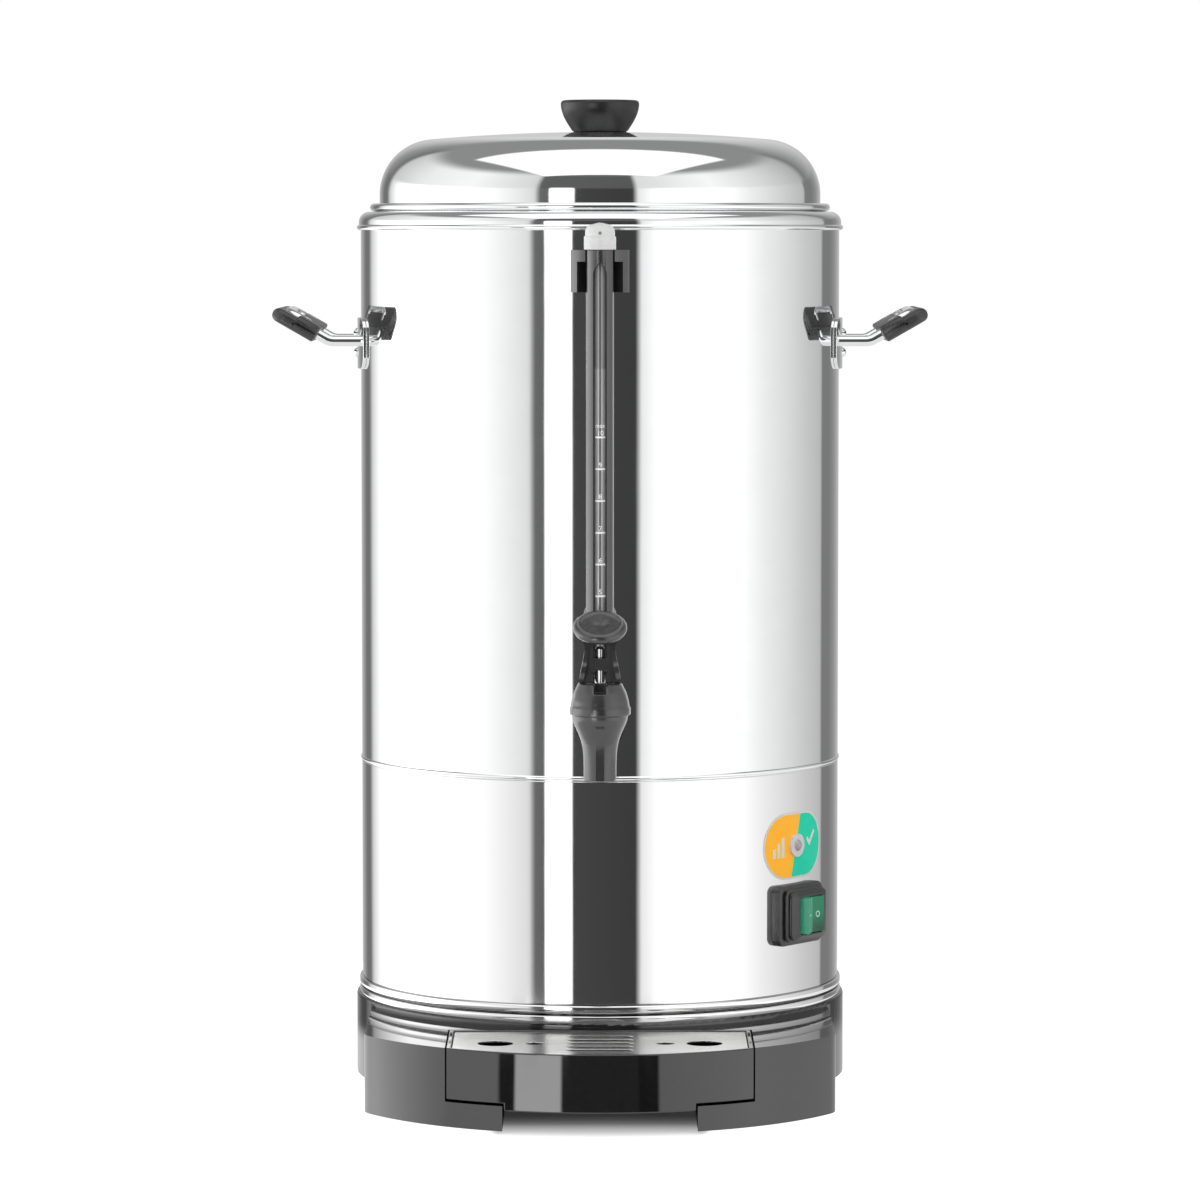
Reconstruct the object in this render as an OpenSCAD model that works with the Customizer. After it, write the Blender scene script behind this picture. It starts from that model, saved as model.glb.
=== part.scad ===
// Percolator coffee urn: a steel tank on a steel skirt and a moulded base, with a lever tap,
// a sight gauge, two carrying handles, a lift-off lid, a pump with its filter basket and a drip tray.
// Millimetres, +Z up, the front faces -Y, and the origin is the middle of the footprint on the floor.

/* [Body] */
// Outer radius of the steel tank and skirt
body_r = 135; // [125:1:145]
// Thickness of the steel sheet
sheet = 1; // [0.8:0.1:1.4]
// Height of the seam between the skirt and the tank
seam_z = 179; // [170:1:190]
// Height of the tank's rim
rim_z = 488.3; // [470:0.1:520]
// Height of the rolled collar below the rim
collar_h = 10.3; // [8:0.1:14]
// How far the rolled collar stands out of the body
collar_out = 1.1; // [0.8:0.1:2]
// Radius of the collar's rounded shoulder
shoulder_r = 6; // [4:0.5:8]
// How far the mouth is drawn in from the body's outside
mouth_in = 9.5; // [8:0.5:14]
// Height of the tank's floor above the seam
floor_rise = 15; // [12:0.5:16]
// Thickness of the tank's floor
floor_t = 1.2; // [1:0.1:2]
// Radius of the heating well in the floor
well_r = 42; // [38:1:50]
// Depth of the heating well
well_depth = 5; // [3:0.5:7]

/* [Lid] */
// Radial gap between the lid's plug and the mouth
lid_gap = 1.2; // [0.6:0.1:2]
// Height of the lid's crown above the rim
lid_h = 44.7; // [38:0.1:60]
// Sheet thickness of the lid
lid_t = 1; // [0.8:0.1:1.5]
// Radius of the lid's rounded shoulder
lid_corner_r = 31; // [25:0.5:34]
// Radius of the lid's shallow dome
lid_dome_r = 1100; // [700:10:1500]
// How far the lid's plug reaches below the rim
plug_depth = 8; // [5:0.5:12]
// Radius of the lid's rolled flange edge
flange_bead_r = 2.2; // [1.6:0.1:2.6]
// Largest radius of the knob
knob_r = 22.1; // [18:0.1:26]
// Radius of the knob's foot
knob_foot_r = 15.2; // [12:0.1:17]
// Height of the knob
knob_h = 18; // [14:0.5:24]

/* [Base] */
// Height of the moulded base ring
base_h = 47; // [42:0.5:54]
// How far the base ring stands out of the body
base_lip = 3.4; // [2.4:0.1:5]
// Wall thickness of the moulded base
base_wall = 3.4; // [2.6:0.1:4]
// Front reach of the tray holder from the tank's axis
block_reach = 230; // [222:1:240]
// Radius of the tray holder's curved front
block_front_r = 150; // [145:1:160]
// Half width of the tray holder
block_half_w = 127.7; // [122:0.1:132]
// Corner radius of the tray holder
block_corner_r = 20; // [14:1:26]
// Height of the tray holder
block_h = 43.8; // [40:0.1:46]
// Gap between the base and the floor, bridged by the feet
base_lift = 1.5; // [1:0.1:3]
// Radius of the rubber feet
foot_r = 11; // [9:0.5:13]

/* [Drip tray] */
// Half width of the tray's upper part
tray_half_w = 81.8; // [74:0.1:88]
// Half width of the tray's lower tongue
tongue_half_w = 51; // [44:0.5:58]
// Height of the ledges that carry the tray
ledge_z = 15; // [13:0.5:18]
// How far the tongue hangs below the ledges
tongue_drop = 2.5; // [1.5:0.1:4]
// Wall thickness of the tray
tray_wall = 2.5; // [2:0.1:3]
// Gap between the tray and its bay
tray_gap = 0.8; // [0.5:0.1:1.2]
// Thickness of the drip grid
grid_t = 1.2; // [1:0.1:1.6]

/* [Tap] */
// Distance of the tap's spout from the body
tap_reach = 39; // [36:0.5:46]
// Height of the tap's shank above the seam
tap_rise = 30; // [29:0.5:34]
// Height of the spout's outlet above the seam
spout_rise = 5; // [2:0.5:8]
// Outlet radius of the spout
spout_r = 8.8; // [8.5:0.1:9.5]
// Radius of the tap's valve housing
valve_house_r = 15; // [14.5:0.1:16]
// Radius of the spout's bore
spout_bore_r = 6.2; // [5:0.1:6.6]
// Radius of the tap's shank outside the tank
shank_r = 9.5; // [9:0.1:9.8]
// Radius of the shank's threaded end
thread_r = 8; // [7:0.1:8.5]
// Radius of the shank's bore
shank_bore_r = 5.5; // [4.5:0.1:6]
// Height of the tap's bonnet
bonnet_h = 17.3; // [15:0.1:20]
// Radius of the valve stem
stem_r = 2.8; // [2.4:0.1:3.2]
// Radius of the lever's pin
lever_pin_r = 1.4; // [1.2:0.1:1.6]
// Radius of the lever's cam cheeks
cam_r = 7; // [6:0.1:8]
// How far the cam's centre lies in front of the pin
cam_offset = 4; // [3:0.1:5]
// Radius of the lever's finger paddle
paddle_r = 14.5; // [12:0.1:16]
// Height of the paddle's middle above the pin
paddle_rise = 22.8; // [21:0.1:27]

/* [Gauge] */
// Distance of the gauge tube's axis from the body
gauge_reach = 12.5; // [12:0.1:14]
// Outer radius of the glass tube
glass_r = 4; // [3.5:0.1:4.2]
// Wall thickness of the glass tube
glass_t = 1.2; // [1:0.1:1.5]
// Half width of the gauge guard
guard_half_w = 7.5; // [7:0.1:8]
// Half width of the guard's window
window_half_w = 3.5; // [3:0.1:4]
// How far the guard's top lies below the rim
guard_drop = 21; // [18:0.5:30]
// Width of the gauge's top bracket
bracket_w = 31.7; // [30:0.1:36]
// Height of the gauge's top bracket
bracket_h = 22.8; // [20:0.1:28]
// Radius of the gauge cap
cap_r = 9; // [8.5:0.1:10]
// Height of the gauge cap
cap_h = 14.5; // [12:0.5:18]

/* [Handles] */
// How far the handle's legs lie below the rim
handle_drop = 72.3; // [66:0.1:100]
// Width of the handle's plate round the body
plate_w = 70; // [64:1:80]
// Height of the handle's plate
plate_h = 28.5; // [24:0.5:36]
// Thickness of the handle's plate
plate_t = 2; // [1.5:0.1:3]
// Radius of the handle's wire
wire_r = 3; // [2.5:0.1:3.4]
// Half distance between the wire's legs
leg_y = 26; // [22:0.5:27]
// Straight length of the wire's legs
leg_out = 15; // [12:0.5:20]
// Angle of the grip above level
grip_tilt = 30; // [20:1:40]
// Length of the grip along its slope
grip_len = 28; // [26:0.5:34]
// Thickness of the grip
grip_t = 11.5; // [10.5:0.1:13]
// Width of the grip
grip_w = 92; // [80:1:110]

/* [Switch] */
// Angle of the switch round the body from the front
switch_angle = 53.4; // [40:0.1:75]
// Height of the switch
switch_z = 100; // [92:0.5:110]
// Width of the switch frame
frame_w = 41; // [39:0.5:44]
// Height of the switch frame
frame_h = 33.5; // [32:0.5:36]
// How far the switch frame stands out of the body
frame_out = 12; // [11:0.1:14]
// Width of the rocker
rocker_w = 20.6; // [19:0.1:21]
// Height of the rocker
rocker_h = 19.6; // [18:0.1:20]
// Tilt of the rocker to either side
rocker_tilt = 8; // [6:0.5:9]
// Height of the indicator lamp above the switch
lamp_rise = 38; // [32:0.5:44]
// Radius of the indicator lens
lens_r = 4.1; // [3.5:0.1:4.5]
// Height of the gland at the back
gland_z = 78; // [72:0.5:100]
// Radius of the gland's bore
gland_bore_r = 4.2; // [3.5:0.1:5]

/* [Pump and basket] */
// Outer radius of the pump tube
pump_r = 6; // [5:0.1:7]
// Wall thickness of the pump tube
pump_t = 1; // [0.8:0.1:1.2]
// Radius of the pump's bell foot
bell_r = 34; // [30:0.5:36]
// Outer radius of the filter basket
basket_r = 100; // [90:1:105]
// Height of the filter basket
basket_h = 80; // [60:1:100]
// How far the basket's rim lies below the tank's rim
basket_drop = 22; // [20:0.5:40]

/* [Hidden] */
$fn = 96;

// Clearances shared by all fits
fit = 0.1;
running_fit = 0.05;
seat_gap = 0.2;
over = 1;

// Body
inner_r = body_r - sheet;
collar_r = body_r + collar_out;
collar_z = rim_z - collar_h;
mouth_r = body_r - mouth_in;
rim_t = collar_out + sheet;
bead_r = 1.5;
seam_bead_r = 1.2;
floor_z = seam_z + floor_rise;
well_z = floor_z - well_depth;
knuckle_r = 4;
joggle_h = 8;
skirt_band = 1.7;
skirt_band_h = 11;

// Base
base_r = body_r + base_lip;
skirt_z = base_h - 1;
axis_y = (block_reach - base_r) / 2;
block_c = [0, block_front_r - block_reach];
shelf_t = 6;
shelf_r = body_r - 4;
bay_back = base_r + 2;
bay_half_w = tray_half_w + tray_gap;
slot_half_w = tongue_half_w + tray_gap;
foot_h = 4;
foot_set_back = 95;
foot_boss_r = foot_r + 3;
foot_rear_r = base_r - base_wall - foot_boss_r + 1;
feet_xy = [
    for (s = [-1, 1]) [s * (bay_half_w + block_half_w) / 2, foot_set_back - block_reach],
    for (s = [-1, 1]) [s * foot_rear_r * sin(45), foot_rear_r * cos(45)]
];
plate_z = 8;
bottom_t = 1.2;
vent_ring_r = 65;
vent_w = 5;
vent_l = 28;
boss_r = 7;
boss_ring_r = base_r - base_wall - boss_r + 1.4;
boss_angles = [20, 110, 160, 200, 250, 340];
screw_r = 2;
screw_len = 16;
screw_spare = 2;
rod_r = 3;
rod_ring_r = 95;
rod_angles = [0, 120, 240];
nut_h = 5;

// Heater
heater_top = well_z - floor_t;
heater_t = 4;
element_r = 28;
element_tube_r = 3.6;
element_sink = 0.8;
element_start = 110;
element_turn = 320;
element_leg = 18;
element_pin_r = 1.6;
element_pin_l = 9;
element_pin_reach = 26;
disc_r = 8;
disc_flange_r = 9;
disc_flange_t = 3;
tab_w = 6;
tab_t = 0.8;
tab_l = 9;
thermostat_l = 7;
thermostat_tab_x = 5;
cutout_at = [62, 20];
cutout_l = 8;
cutout_tab_x = 5.5;
reset_r = 2.2;
reset_l = 3;

// Terminal block
terminal_y = 62;
terminal_w = 40;
terminal_d = 18;
terminal_h = 16;
terminal_pitch = 12;
terminal_screw_r = 3;
terminal_screw_z = 5;
terminal_wire_r = 2;
terminal_groove = 2;
terminal_groove_z = 11;

// Drip tray
tray_z = ledge_z + seat_gap;
runner_h = 1.1;
runner_w = 8;
runner_back = 32;
runner_x = (slot_half_w + tray_half_w) / 2;
tray_floor_z = tray_z + runner_h + tray_wall;
grid_z = block_h - grid_t - 0.6;
grid_ledge = 2;
drain_x = 56;
drain_r = 9.6;
slit_w = 5;
slit_l = 36;
slit_pitch = 12;

// Lid
lid_r = mouth_r - lid_gap;
lid_seat_z = rim_z + seat_gap;
lid_top = rim_z + lid_h;
dome_z = lid_top - lid_dome_r;
corner_x = lid_r - lid_corner_r;
corner_z = dome_z + sqrt(pow(lid_dome_r - lid_corner_r, 2) - corner_x * corner_x);
corner_end = atan2(corner_z - dome_z, corner_x);

// Tap
tap_z = seam_z + tap_rise;
tap_y = body_r + tap_reach;
spout_z = seam_z + spout_rise;
house_top = tap_z + shank_r + seat_gap;
seat_z = tap_z - shank_bore_r - 0.5;
chamber_r = 8.5;
seal_r = chamber_r - 0.8;
rib_w = 4.6;
rib_out = 1.1;
rib_end = 0.82;
flange_t = 2.5;
washer_out = 2.5;
washer_r = 13;
washer_in = 2.5;
inner_washer_r = 10.5;
shank_in = 16;
bonnet_top = house_top + bonnet_h;
pin_z = bonnet_top + seat_gap + cam_r;
stem_top = pin_z + 12.5;
lever_slot = stem_r + 0.6;
lever_depth = 60;
web_y = stem_r + 2.4;
web_h = 6.6;
recess_y = web_y + 1.6;
cheek_w = 2.4;
notch_w = 6.4;
notch_h = 5;
lever_w = 22;
neck_w = 16.5;

// Gauge
gauge_y = body_r + gauge_reach;
bracket_front = 2.5;
arch_drop = 13;
band_h = 6.3;
band_t = 1.6;
socket_r = 8;
socket_top = house_top + 9.3;
guard_z = socket_top + fit;
guard_top = rim_z - guard_drop;
glass_z = socket_top - 6;
glass_top = guard_top + 7;

// Handles
handle_z = rim_z - handle_drop;
bend_r = 20;
corner_r = 8;
leg_x = body_r + leg_out;
cross_x = grip_len - 9;
grip_sink = 1.5;
end_slot = 2.4;
rivet_r = 3;
rivet_drop = 7;
rivet_rise = 4;
rivet_sink = 0.7;
bend_steps = 6;
corner_steps = 6;
wire_sides = 16;
wire_foot_x = body_r - 4;

// Switch and lamp
lamp_z = switch_z + lamp_rise;
rocker_pin_r = 1.5;
rocker_y = body_r + 7;
rocker_gap = 0.5;
body_w = rocker_w + 6;
switch_h = rocker_h + 3;
switch_depth = 26;
// Steps of the switch frame: width cut, height cut, start and end outside the body
frame_steps = [
    [0, 0, -2, 4], [8, 6.5, 4, 5.5], [5, 4, 5.5, 7], [10, 8, 7, 8.5], [8, 6.5, 8.5, frame_out]
];
lamp_ring_r = lens_r + 2.3;
gland_r = 8;
gland_nut_r = 13;
nut_seat = sqrt(inner_r * inner_r - gland_nut_r * gland_nut_r);

// Pump and basket
foot_z = well_z + seat_gap;
bell_h = 24;
pump_top = rim_z - 12;
basket_top = rim_z - basket_drop;
basket_z = basket_top - basket_h;
basket_t = 1;
sleeve_r = pump_r + 0.3;
sleeve_t = 1.2;
stop_h = 4;
cover_brim = 8;
cover_sink = 3;

// Points of an arc round c from angle a0 to a1
function arc(c, r, a0, a1, n = 12) =
    [for (i = [0:n]) let(a = a0 + (a1 - a0) * i / n) [c.x + r * cos(a), c.y + r * sin(a)]];

// The tank's axis stands behind the middle of the footprint
module stand() translate([0, axis_y, 0]) children();

// Turn a piece from the front to an angle round the body
module round_body(angle) rotate([0, 0, angle]) children();

// Cylinder along Y, from distance y0 to y1 in front of the axis
module front_cyl(r, y0, y1, z) translate([0, -y0, z]) rotate([90, 0, 0]) cylinder(r = r, h = y1 - y0);

// Rectangle with round corners about its middle
module rounded_rect(w, h, r) {
    square([w - 2 * r, h], center = true);
    square([w, h - 2 * r], center = true);
    for (x = [-1, 1], y = [-1, 1]) translate([x * (w / 2 - r), y * (h / 2 - r)]) circle(r);
}

// Slot with round ends about its middle
module vent_slot(w, l) {
    square([w, l - w], center = true);
    for (s = [-1, 1]) translate([0, s * (l - w) / 2]) circle(w / 2);
}

// Rounded block in front of the axis, from distance y0 to y1
module front_block(w, h, r, y0, y1, z)
    translate([0, -y0, z]) rotate([90, 0, 0]) linear_extrude(y1 - y0) rounded_rect(w, h, r);

// Side outline (forward, up) drawn across X about the middle
module across_x(w) rotate([90, 0, -90]) linear_extrude(w, center = true) children();

// Ring section with square edges
module ring(r0, r1, z0, z1) translate([r0, z0]) square([r1 - r0, z1 - z0]);

// Hexagon prism, like a nut, about its middle
module hexagon(r, h) cylinder(r = r, h = h, $fn = 6);

// Section of the tank: wall, seam bead, floor with its well, rolled collar
module tank_section() {
    ring(inner_r, body_r, seam_z, collar_z + over);
    intersection() {
        translate([body_r - sheet / 2, seam_z + bead_r]) circle(seam_bead_r);
        ring(body_r - sheet / 2, body_r + seam_bead_r, seam_z, seam_z + 2 * bead_r);
    }
    ring(well_r, inner_r + sheet / 2, floor_z - floor_t, floor_z);
    ring(well_r, well_r + floor_t, well_z - floor_t, floor_z);
    ring(0, well_r + floor_t, well_z - floor_t, well_z);
    difference() {
        ring(inner_r - knuckle_r, inner_r + sheet / 2, floor_z - over / 2, floor_z + knuckle_r);
        translate([inner_r - knuckle_r, floor_z + knuckle_r]) circle(knuckle_r);
    }
    ring(inner_r, collar_r, collar_z, rim_z - shoulder_r);
    translate([body_r + collar_out - 0.4, collar_z + bead_r]) circle(bead_r);
    intersection() {
        difference() {
            translate([collar_r - shoulder_r, rim_z - shoulder_r]) circle(shoulder_r);
            translate([collar_r - shoulder_r, rim_z - shoulder_r]) circle(shoulder_r - rim_t);
        }
        translate([collar_r - shoulder_r, rim_z - shoulder_r]) square(shoulder_r);
    }
    ring(mouth_r + rim_t / 2, collar_r - shoulder_r, rim_z - rim_t, rim_z);
    translate([mouth_r + rim_t / 2, rim_z - rim_t / 2]) circle(rim_t / 2);
}

module tank_shell() color("silver") difference() {
    rotate_extrude() tank_section();
    front_cyl(thread_r + fit, inner_r - 10, body_r + over, tap_z);
    gauge_screw_places() front_cyl(screw_r + fit, inner_r - 10, body_r + over, 0);
}

// Skirt section: band at the foot, wall, and a joggle that enters the tank's lower edge
module skirt_section() {
    ring(inner_r, body_r, skirt_z, seam_z);
    ring(inner_r - sheet - fit, body_r - fit, seam_z - 2 * sheet, seam_z - fit);
    ring(inner_r - sheet - fit, inner_r - fit, seam_z - 2 * sheet, seam_z + joggle_h);
    band_mid = skirt_z + skirt_band_h / 2;
    for (z = [skirt_z, band_mid]) {
        ring(inner_r, body_r + skirt_band - 1, z, band_mid - skirt_z + z - 1);
        translate([body_r + skirt_band - 1, z + 1]) square([1, band_mid - skirt_z - 3]);
        for (dz = [1, band_mid - skirt_z - 2])
            translate([body_r + skirt_band - 1, z + dz]) circle(1);
    }
}

module lower_skirt() color("silver") difference() {
    rotate_extrude() skirt_section();
    round_body(switch_angle) {
        front_block(body_w + 2 * fit, switch_h + 2 * fit, 1, inner_r - 10, body_r + 10, switch_z);
        front_cyl(lens_r + fit, inner_r - 10, body_r + 10, lamp_z);
    }
    round_body(180) front_cyl(gland_r + fit, inner_r - 10, body_r + 10, gland_z);
}

// Plan of the tray holder, drawn in by d: curved front, straight sides, round corners
module block_plan(d = 0) {
    r = block_front_r - d;
    w = block_half_w - d;
    c = max(block_corner_r - d, 1);
    corner_y = block_c.y - sqrt(pow(r - c, 2) - pow(w - c, 2));
    tangent = [w - c, corner_y - block_c.y] / (r - c);
    translate([-w, corner_y]) square([2 * w, -corner_y]);
    for (s = [-1, 1]) translate([s * (w - c), corner_y]) circle(c);
    intersection() {
        translate(block_c) circle(r, $fn = 240);
        polygon([
            block_c,
            [block_c.x - 2 * r * tangent.x, block_c.y + 2 * r * tangent.y],
            [block_c.x + 2 * r * tangent.x, block_c.y + 2 * r * tangent.y]
        ]);
    }
}

// Base ring section: outer wall with a rounded top edge, and the shelf that carries the skirt
module base_section() {
    edge = base_lip - skirt_band - fit;
    ring(base_r - base_wall, base_r, base_lift, base_h - edge);
    translate([base_r - edge, base_h - edge]) intersection() {
        circle(edge);
        square(edge);
    }
    ring(shelf_r, base_r - edge, skirt_z - shelf_t, skirt_z);
    ring(body_r + skirt_band + fit, base_r - edge + fit / 2, skirt_z - over, base_h);
}

module screw_boss_places() for (a = boss_angles) round_body(a) translate([0, -boss_ring_r, 0]) children();

module base_housing() color("#1c1c1e") difference() {
    union() {
        rotate_extrude() base_section();
        difference() {
            translate([0, 0, base_lift]) linear_extrude(block_h - base_lift) block_plan();
            cylinder(r = base_r - base_wall / 2, h = base_h);
            arm_hollow(block_h - base_wall, bay_half_w + base_wall);
            arm_hollow(ledge_z - base_wall, slot_half_w + base_wall);
        }
        for (p = feet_xy) translate([p.x, p.y, base_lift])
            cylinder(r = foot_boss_r, h = skirt_z - shelf_t + over - base_lift);
        screw_boss_places() translate([0, 0, plate_z + bottom_t])
            cylinder(r = boss_r, h = skirt_z - shelf_t + over - plate_z - bottom_t);
    }
    tray_bay(bay_half_w, ledge_z, block_h);
    tray_bay(slot_half_w, 0, ledge_z + over);
    for (p = feet_xy) translate([p.x, p.y, 0]) cylinder(r = foot_r + fit, h = foot_h);
    screw_boss_places() translate([0, 0, plate_z]) cylinder(r = screw_r, h = screw_len + screw_spare);
}

// Hollow under the tray holder's arms, open below, beyond x0 on either side
module arm_hollow(top, x0) for (s = [0, 1]) mirror([s, 0, 0]) linear_extrude(top) intersection() {
    difference() {
        block_plan(base_wall);
        circle(base_r);
    }
    translate([x0, -block_reach]) square([block_half_w, block_reach]);
}

// Bay that the tray slides in, open at the front
module tray_bay(half_w, z0, z1)
    translate([-half_w, -block_reach - over, z0])
        cube([2 * half_w, block_reach + over - bay_back, z1 - z0 + over]);

module bottom_plate() color("#b9bcbf") difference() {
    translate([0, 0, plate_z]) cylinder(r = base_r - base_wall - 1.5, h = bottom_t);
    for (p = feet_xy) translate([p.x, p.y, 0]) cylinder(r = foot_boss_r + 0.5, h = base_h);
    screw_boss_places() cylinder(r = screw_r + fit, h = base_h);
    for (a = rod_angles) round_body(a) translate([0, -rod_ring_r, 0]) cylinder(r = rod_r + fit, h = base_h);
    for (i = [0:11]) round_body(15 + 30 * i) translate([0, -vent_ring_r, plate_z])
        linear_extrude(3 * bottom_t, center = true) vent_slot(vent_w, vent_l);
}

module feet() color("#2a2a2a") for (p = feet_xy) translate([p.x, p.y, 0]) rotate_extrude()
    polygon(concat([[0, 0]], arc([foot_r - 1, 1], 1, -90, 0, 4), [[foot_r, foot_h], [0, foot_h]]));

module base_screws() color("silver") screw_boss_places() {
    translate([0, 0, plate_z]) cylinder(r = screw_r - running_fit, h = screw_len);
    difference() {
        translate([0, 0, plate_z - 2.2]) cylinder(r1 = 2.6, r2 = 3.6, h = 2.2);
        translate([0, 0, plate_z - 2.2]) cube([0.8, 5, 1.6], center = true);
        translate([0, 0, plate_z - 2.2]) cube([5, 0.8, 1.6], center = true);
    }
}

// Studs under the tank's floor that clamp skirt, base and bottom plate together
module tie_rods() color("silver") for (a = rod_angles) round_body(a) translate([0, -rod_ring_r, 2.5])
    cylinder(r = rod_r, h = floor_z - floor_t - 2.5);

module tie_nuts() color("silver") for (a = rod_angles) round_body(a) translate([0, -rod_ring_r, 0])
    difference() {
        translate([0, 0, plate_z - nut_h]) hexagon(5.8, nut_h);
        cylinder(r = rod_r + running_fit, h = base_h);
    }

// Cast plate under the heating well
module heater_plate() color("#c4c6c8") difference() {
    translate([0, 0, heater_top - heater_t]) cylinder(r = well_r - 2, h = heater_t);
    translate([0, 0, heater_top - heater_t - over]) cylinder(r = 2.2, h = 3);
}

// Tubular element in an open ring with its two terminals turned down
module heating_element() color("#8d8478") difference() {
    translate([0, 0, heater_top - heater_t - element_tube_r + element_sink]) {
        rotate([0, 0, element_start]) rotate_extrude(angle = element_turn)
            translate([element_r, 0]) circle(element_tube_r);
        for (a = [element_start, element_start + element_turn])
            rotate([0, 0, a]) translate([element_r, 0, 0]) {
                sphere(element_tube_r);
                translate([0, 0, -element_leg]) cylinder(r = element_tube_r, h = element_leg);
                translate([0, 0, -element_pin_reach]) cylinder(r = element_pin_r, h = element_pin_l);
            }
    }
    translate([0, 0, heater_top - heater_t]) cylinder(r = well_r, h = 2 * element_tube_r);
}

// Snap-disc switch that hangs from what it feels: flange, body and two tabs
module snap_disc(body_l, tab_x) {
    translate([0, 0, -disc_flange_t]) cylinder(r = disc_flange_r, h = disc_flange_t);
    translate([0, 0, -disc_flange_t - body_l]) cylinder(r = disc_r, h = body_l);
    for (s = [-1, 1])
        translate([s * tab_x - tab_t / 2, -tab_w / 2, over - disc_flange_t - body_l - tab_l])
            cube([tab_t, tab_w, tab_l]);
}

// Snap-disc thermostat in the middle of the heater plate
module thermostat() color("#3a3230") translate([0, 0, heater_top - heater_t])
    snap_disc(thermostat_l, thermostat_tab_x);

// Cut-out with a reset pin, on the floor beside the well
module thermal_cutout() color("#e8e4da") translate([cutout_at.x, cutout_at.y, floor_z - floor_t]) {
    snap_disc(cutout_l, cutout_tab_x);
    translate([0, 0, -disc_flange_t - cutout_l - reset_l]) cylinder(r = reset_r, h = reset_l + over);
}

// Three-way block on the bottom plate, with wire holes, screw wells and grooves between
module terminal_block() color("#e6e2d8") translate([0, terminal_y, plate_z + bottom_t]) difference() {
    translate([-terminal_w / 2, 0, 0]) cube([terminal_w, terminal_d, terminal_h]);
    for (i = [-1:1]) translate([i * terminal_pitch, 0, 0]) {
        translate([0, terminal_d / 2, terminal_screw_z]) cylinder(r = terminal_screw_r, h = terminal_h);
        translate([0, -over, terminal_h / 2]) rotate([-90, 0, 0])
            cylinder(r = terminal_wire_r, h = terminal_d + 2 * over);
    }
    for (s = [-1, 1])
        translate([s * terminal_pitch / 2 - terminal_groove / 2, -over, terminal_groove_z])
            cube([terminal_groove, terminal_d + 2 * over, terminal_h]);
}

// Flanged bush in the skirt's back wall
module cord_gland() color("#1c1c1e") round_body(180) difference() {
    union() {
        difference() {
            front_cyl(11.5, inner_r, base_r - 0.8, gland_z);
            cylinder(r = body_r, h = rim_z);
        }
        front_cyl(10.7, base_r - 0.81, base_r, gland_z);
        front_cyl(gland_r, inner_r - 12, body_r + over, gland_z);
    }
    front_cyl(gland_bore_r, inner_r - 20, base_r + over, gland_z);
}

module gland_nut() color("#1c1c1e") round_body(180) difference() {
    front_nut(gland_nut_r, nut_seat - 6, nut_seat, gland_z);
    front_cyl(gland_r + running_fit, inner_r - 20, body_r, gland_z);
}

// Hexagon nut along Y, from distance y0 to y1 in front of the axis
module front_nut(r, y0, y1, z) translate([0, -y0, z]) rotate([90, 0, 0]) hexagon(r, y1 - y0);

// Frame in steps, each narrower or wider than the one behind it
module switch_frame() color("#1c1c1e") round_body(switch_angle) difference() {
    for (s = frame_steps)
        front_block(frame_w - s[0], frame_h - s[1], 4, body_r + s[2], body_r + s[3] + 0.01, switch_z);
    cylinder(r = body_r, h = seam_z);
    front_block(body_w + 2 * fit, switch_h + 2 * fit, 1, inner_r - 10, body_r + 4, switch_z);
    front_block(rocker_w + 2 * rocker_gap, rocker_h + 2 * rocker_gap, 1.5, inner_r, base_r + 20, switch_z);
    rocker_pivot(rocker_pin_r + running_fit, rocker_h + 6);
}

// Switch works behind the frame, hollow for the rocker
module switch_body() color("#26262a") round_body(switch_angle) {
    difference() {
        front_block(body_w, switch_h, 1, inner_r - switch_depth, body_r + 3.8, switch_z);
        front_block(rocker_w + 1, rocker_h + 1, 1, body_r - 6, body_r + 10, switch_z);
    }
    for (x = [-6, 6], z = [-5, 5])
        translate([x - 2.4, -inner_r + switch_depth, switch_z + z - 0.4]) cube([4.8, 9, 0.8]);
}

module rocker_pivot(r, h) translate([0, -rocker_y, switch_z]) cylinder(r = r, h = h, center = true);

// Rocker with two faces that meet in a shallow valley, resting on its pressed side
module switch_rocker() color("#0f8a55") round_body(switch_angle) translate([0, -rocker_y, switch_z])
    rotate([0, 0, rocker_tilt]) {
        cylinder(r = rocker_pin_r, h = rocker_h + 4, center = true);
        half = rocker_w / 2 - 0.9;
        linear_extrude(rocker_h, center = true)
            polygon([[-half, -6.5], [0, -4], [half, -6.5], [half, 0], [3, 5], [-3, 5], [-half, 0]]);
    }

module indicator_bezel() color("#e9e9e9") round_body(switch_angle) difference() {
    union() {
        front_cyl(lamp_ring_r, body_r - 2, body_r + 1.6, lamp_z);
        front_cyl(lens_r, inner_r - 16, body_r + 1, lamp_z);
    }
    difference() {
        cylinder(r = body_r, h = seam_z);
        front_cyl(lens_r, inner_r - 16, body_r + 1, lamp_z);
    }
    front_cyl(lens_r - 0.9, inner_r - 2, body_r + 10, lamp_z);
}

module indicator_lens() color("#e8d8e0") round_body(switch_angle) translate([0, -inner_r + 2, lamp_z])
    rotate([90, 0, 0]) rotate_extrude() {
        r = lens_r - 0.9 - fit;
        depth = sheet + 2.6;
        polygon(concat([[0, 0], [r, 0]], arc([0, depth], r, 0, 90, 8)));
    }

// Outline of the spout: a slender neck that flares into the valve housing
function flare(t) = (1 - cos(180 * pow(t, 2.3))) / 2;
function spout_at(t) =
    [spout_r + (valve_house_r - spout_r) * flare(t), spout_z + (house_top - spout_z) * t];

module at_tap() translate([0, -tap_y, 0]) children();

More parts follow.
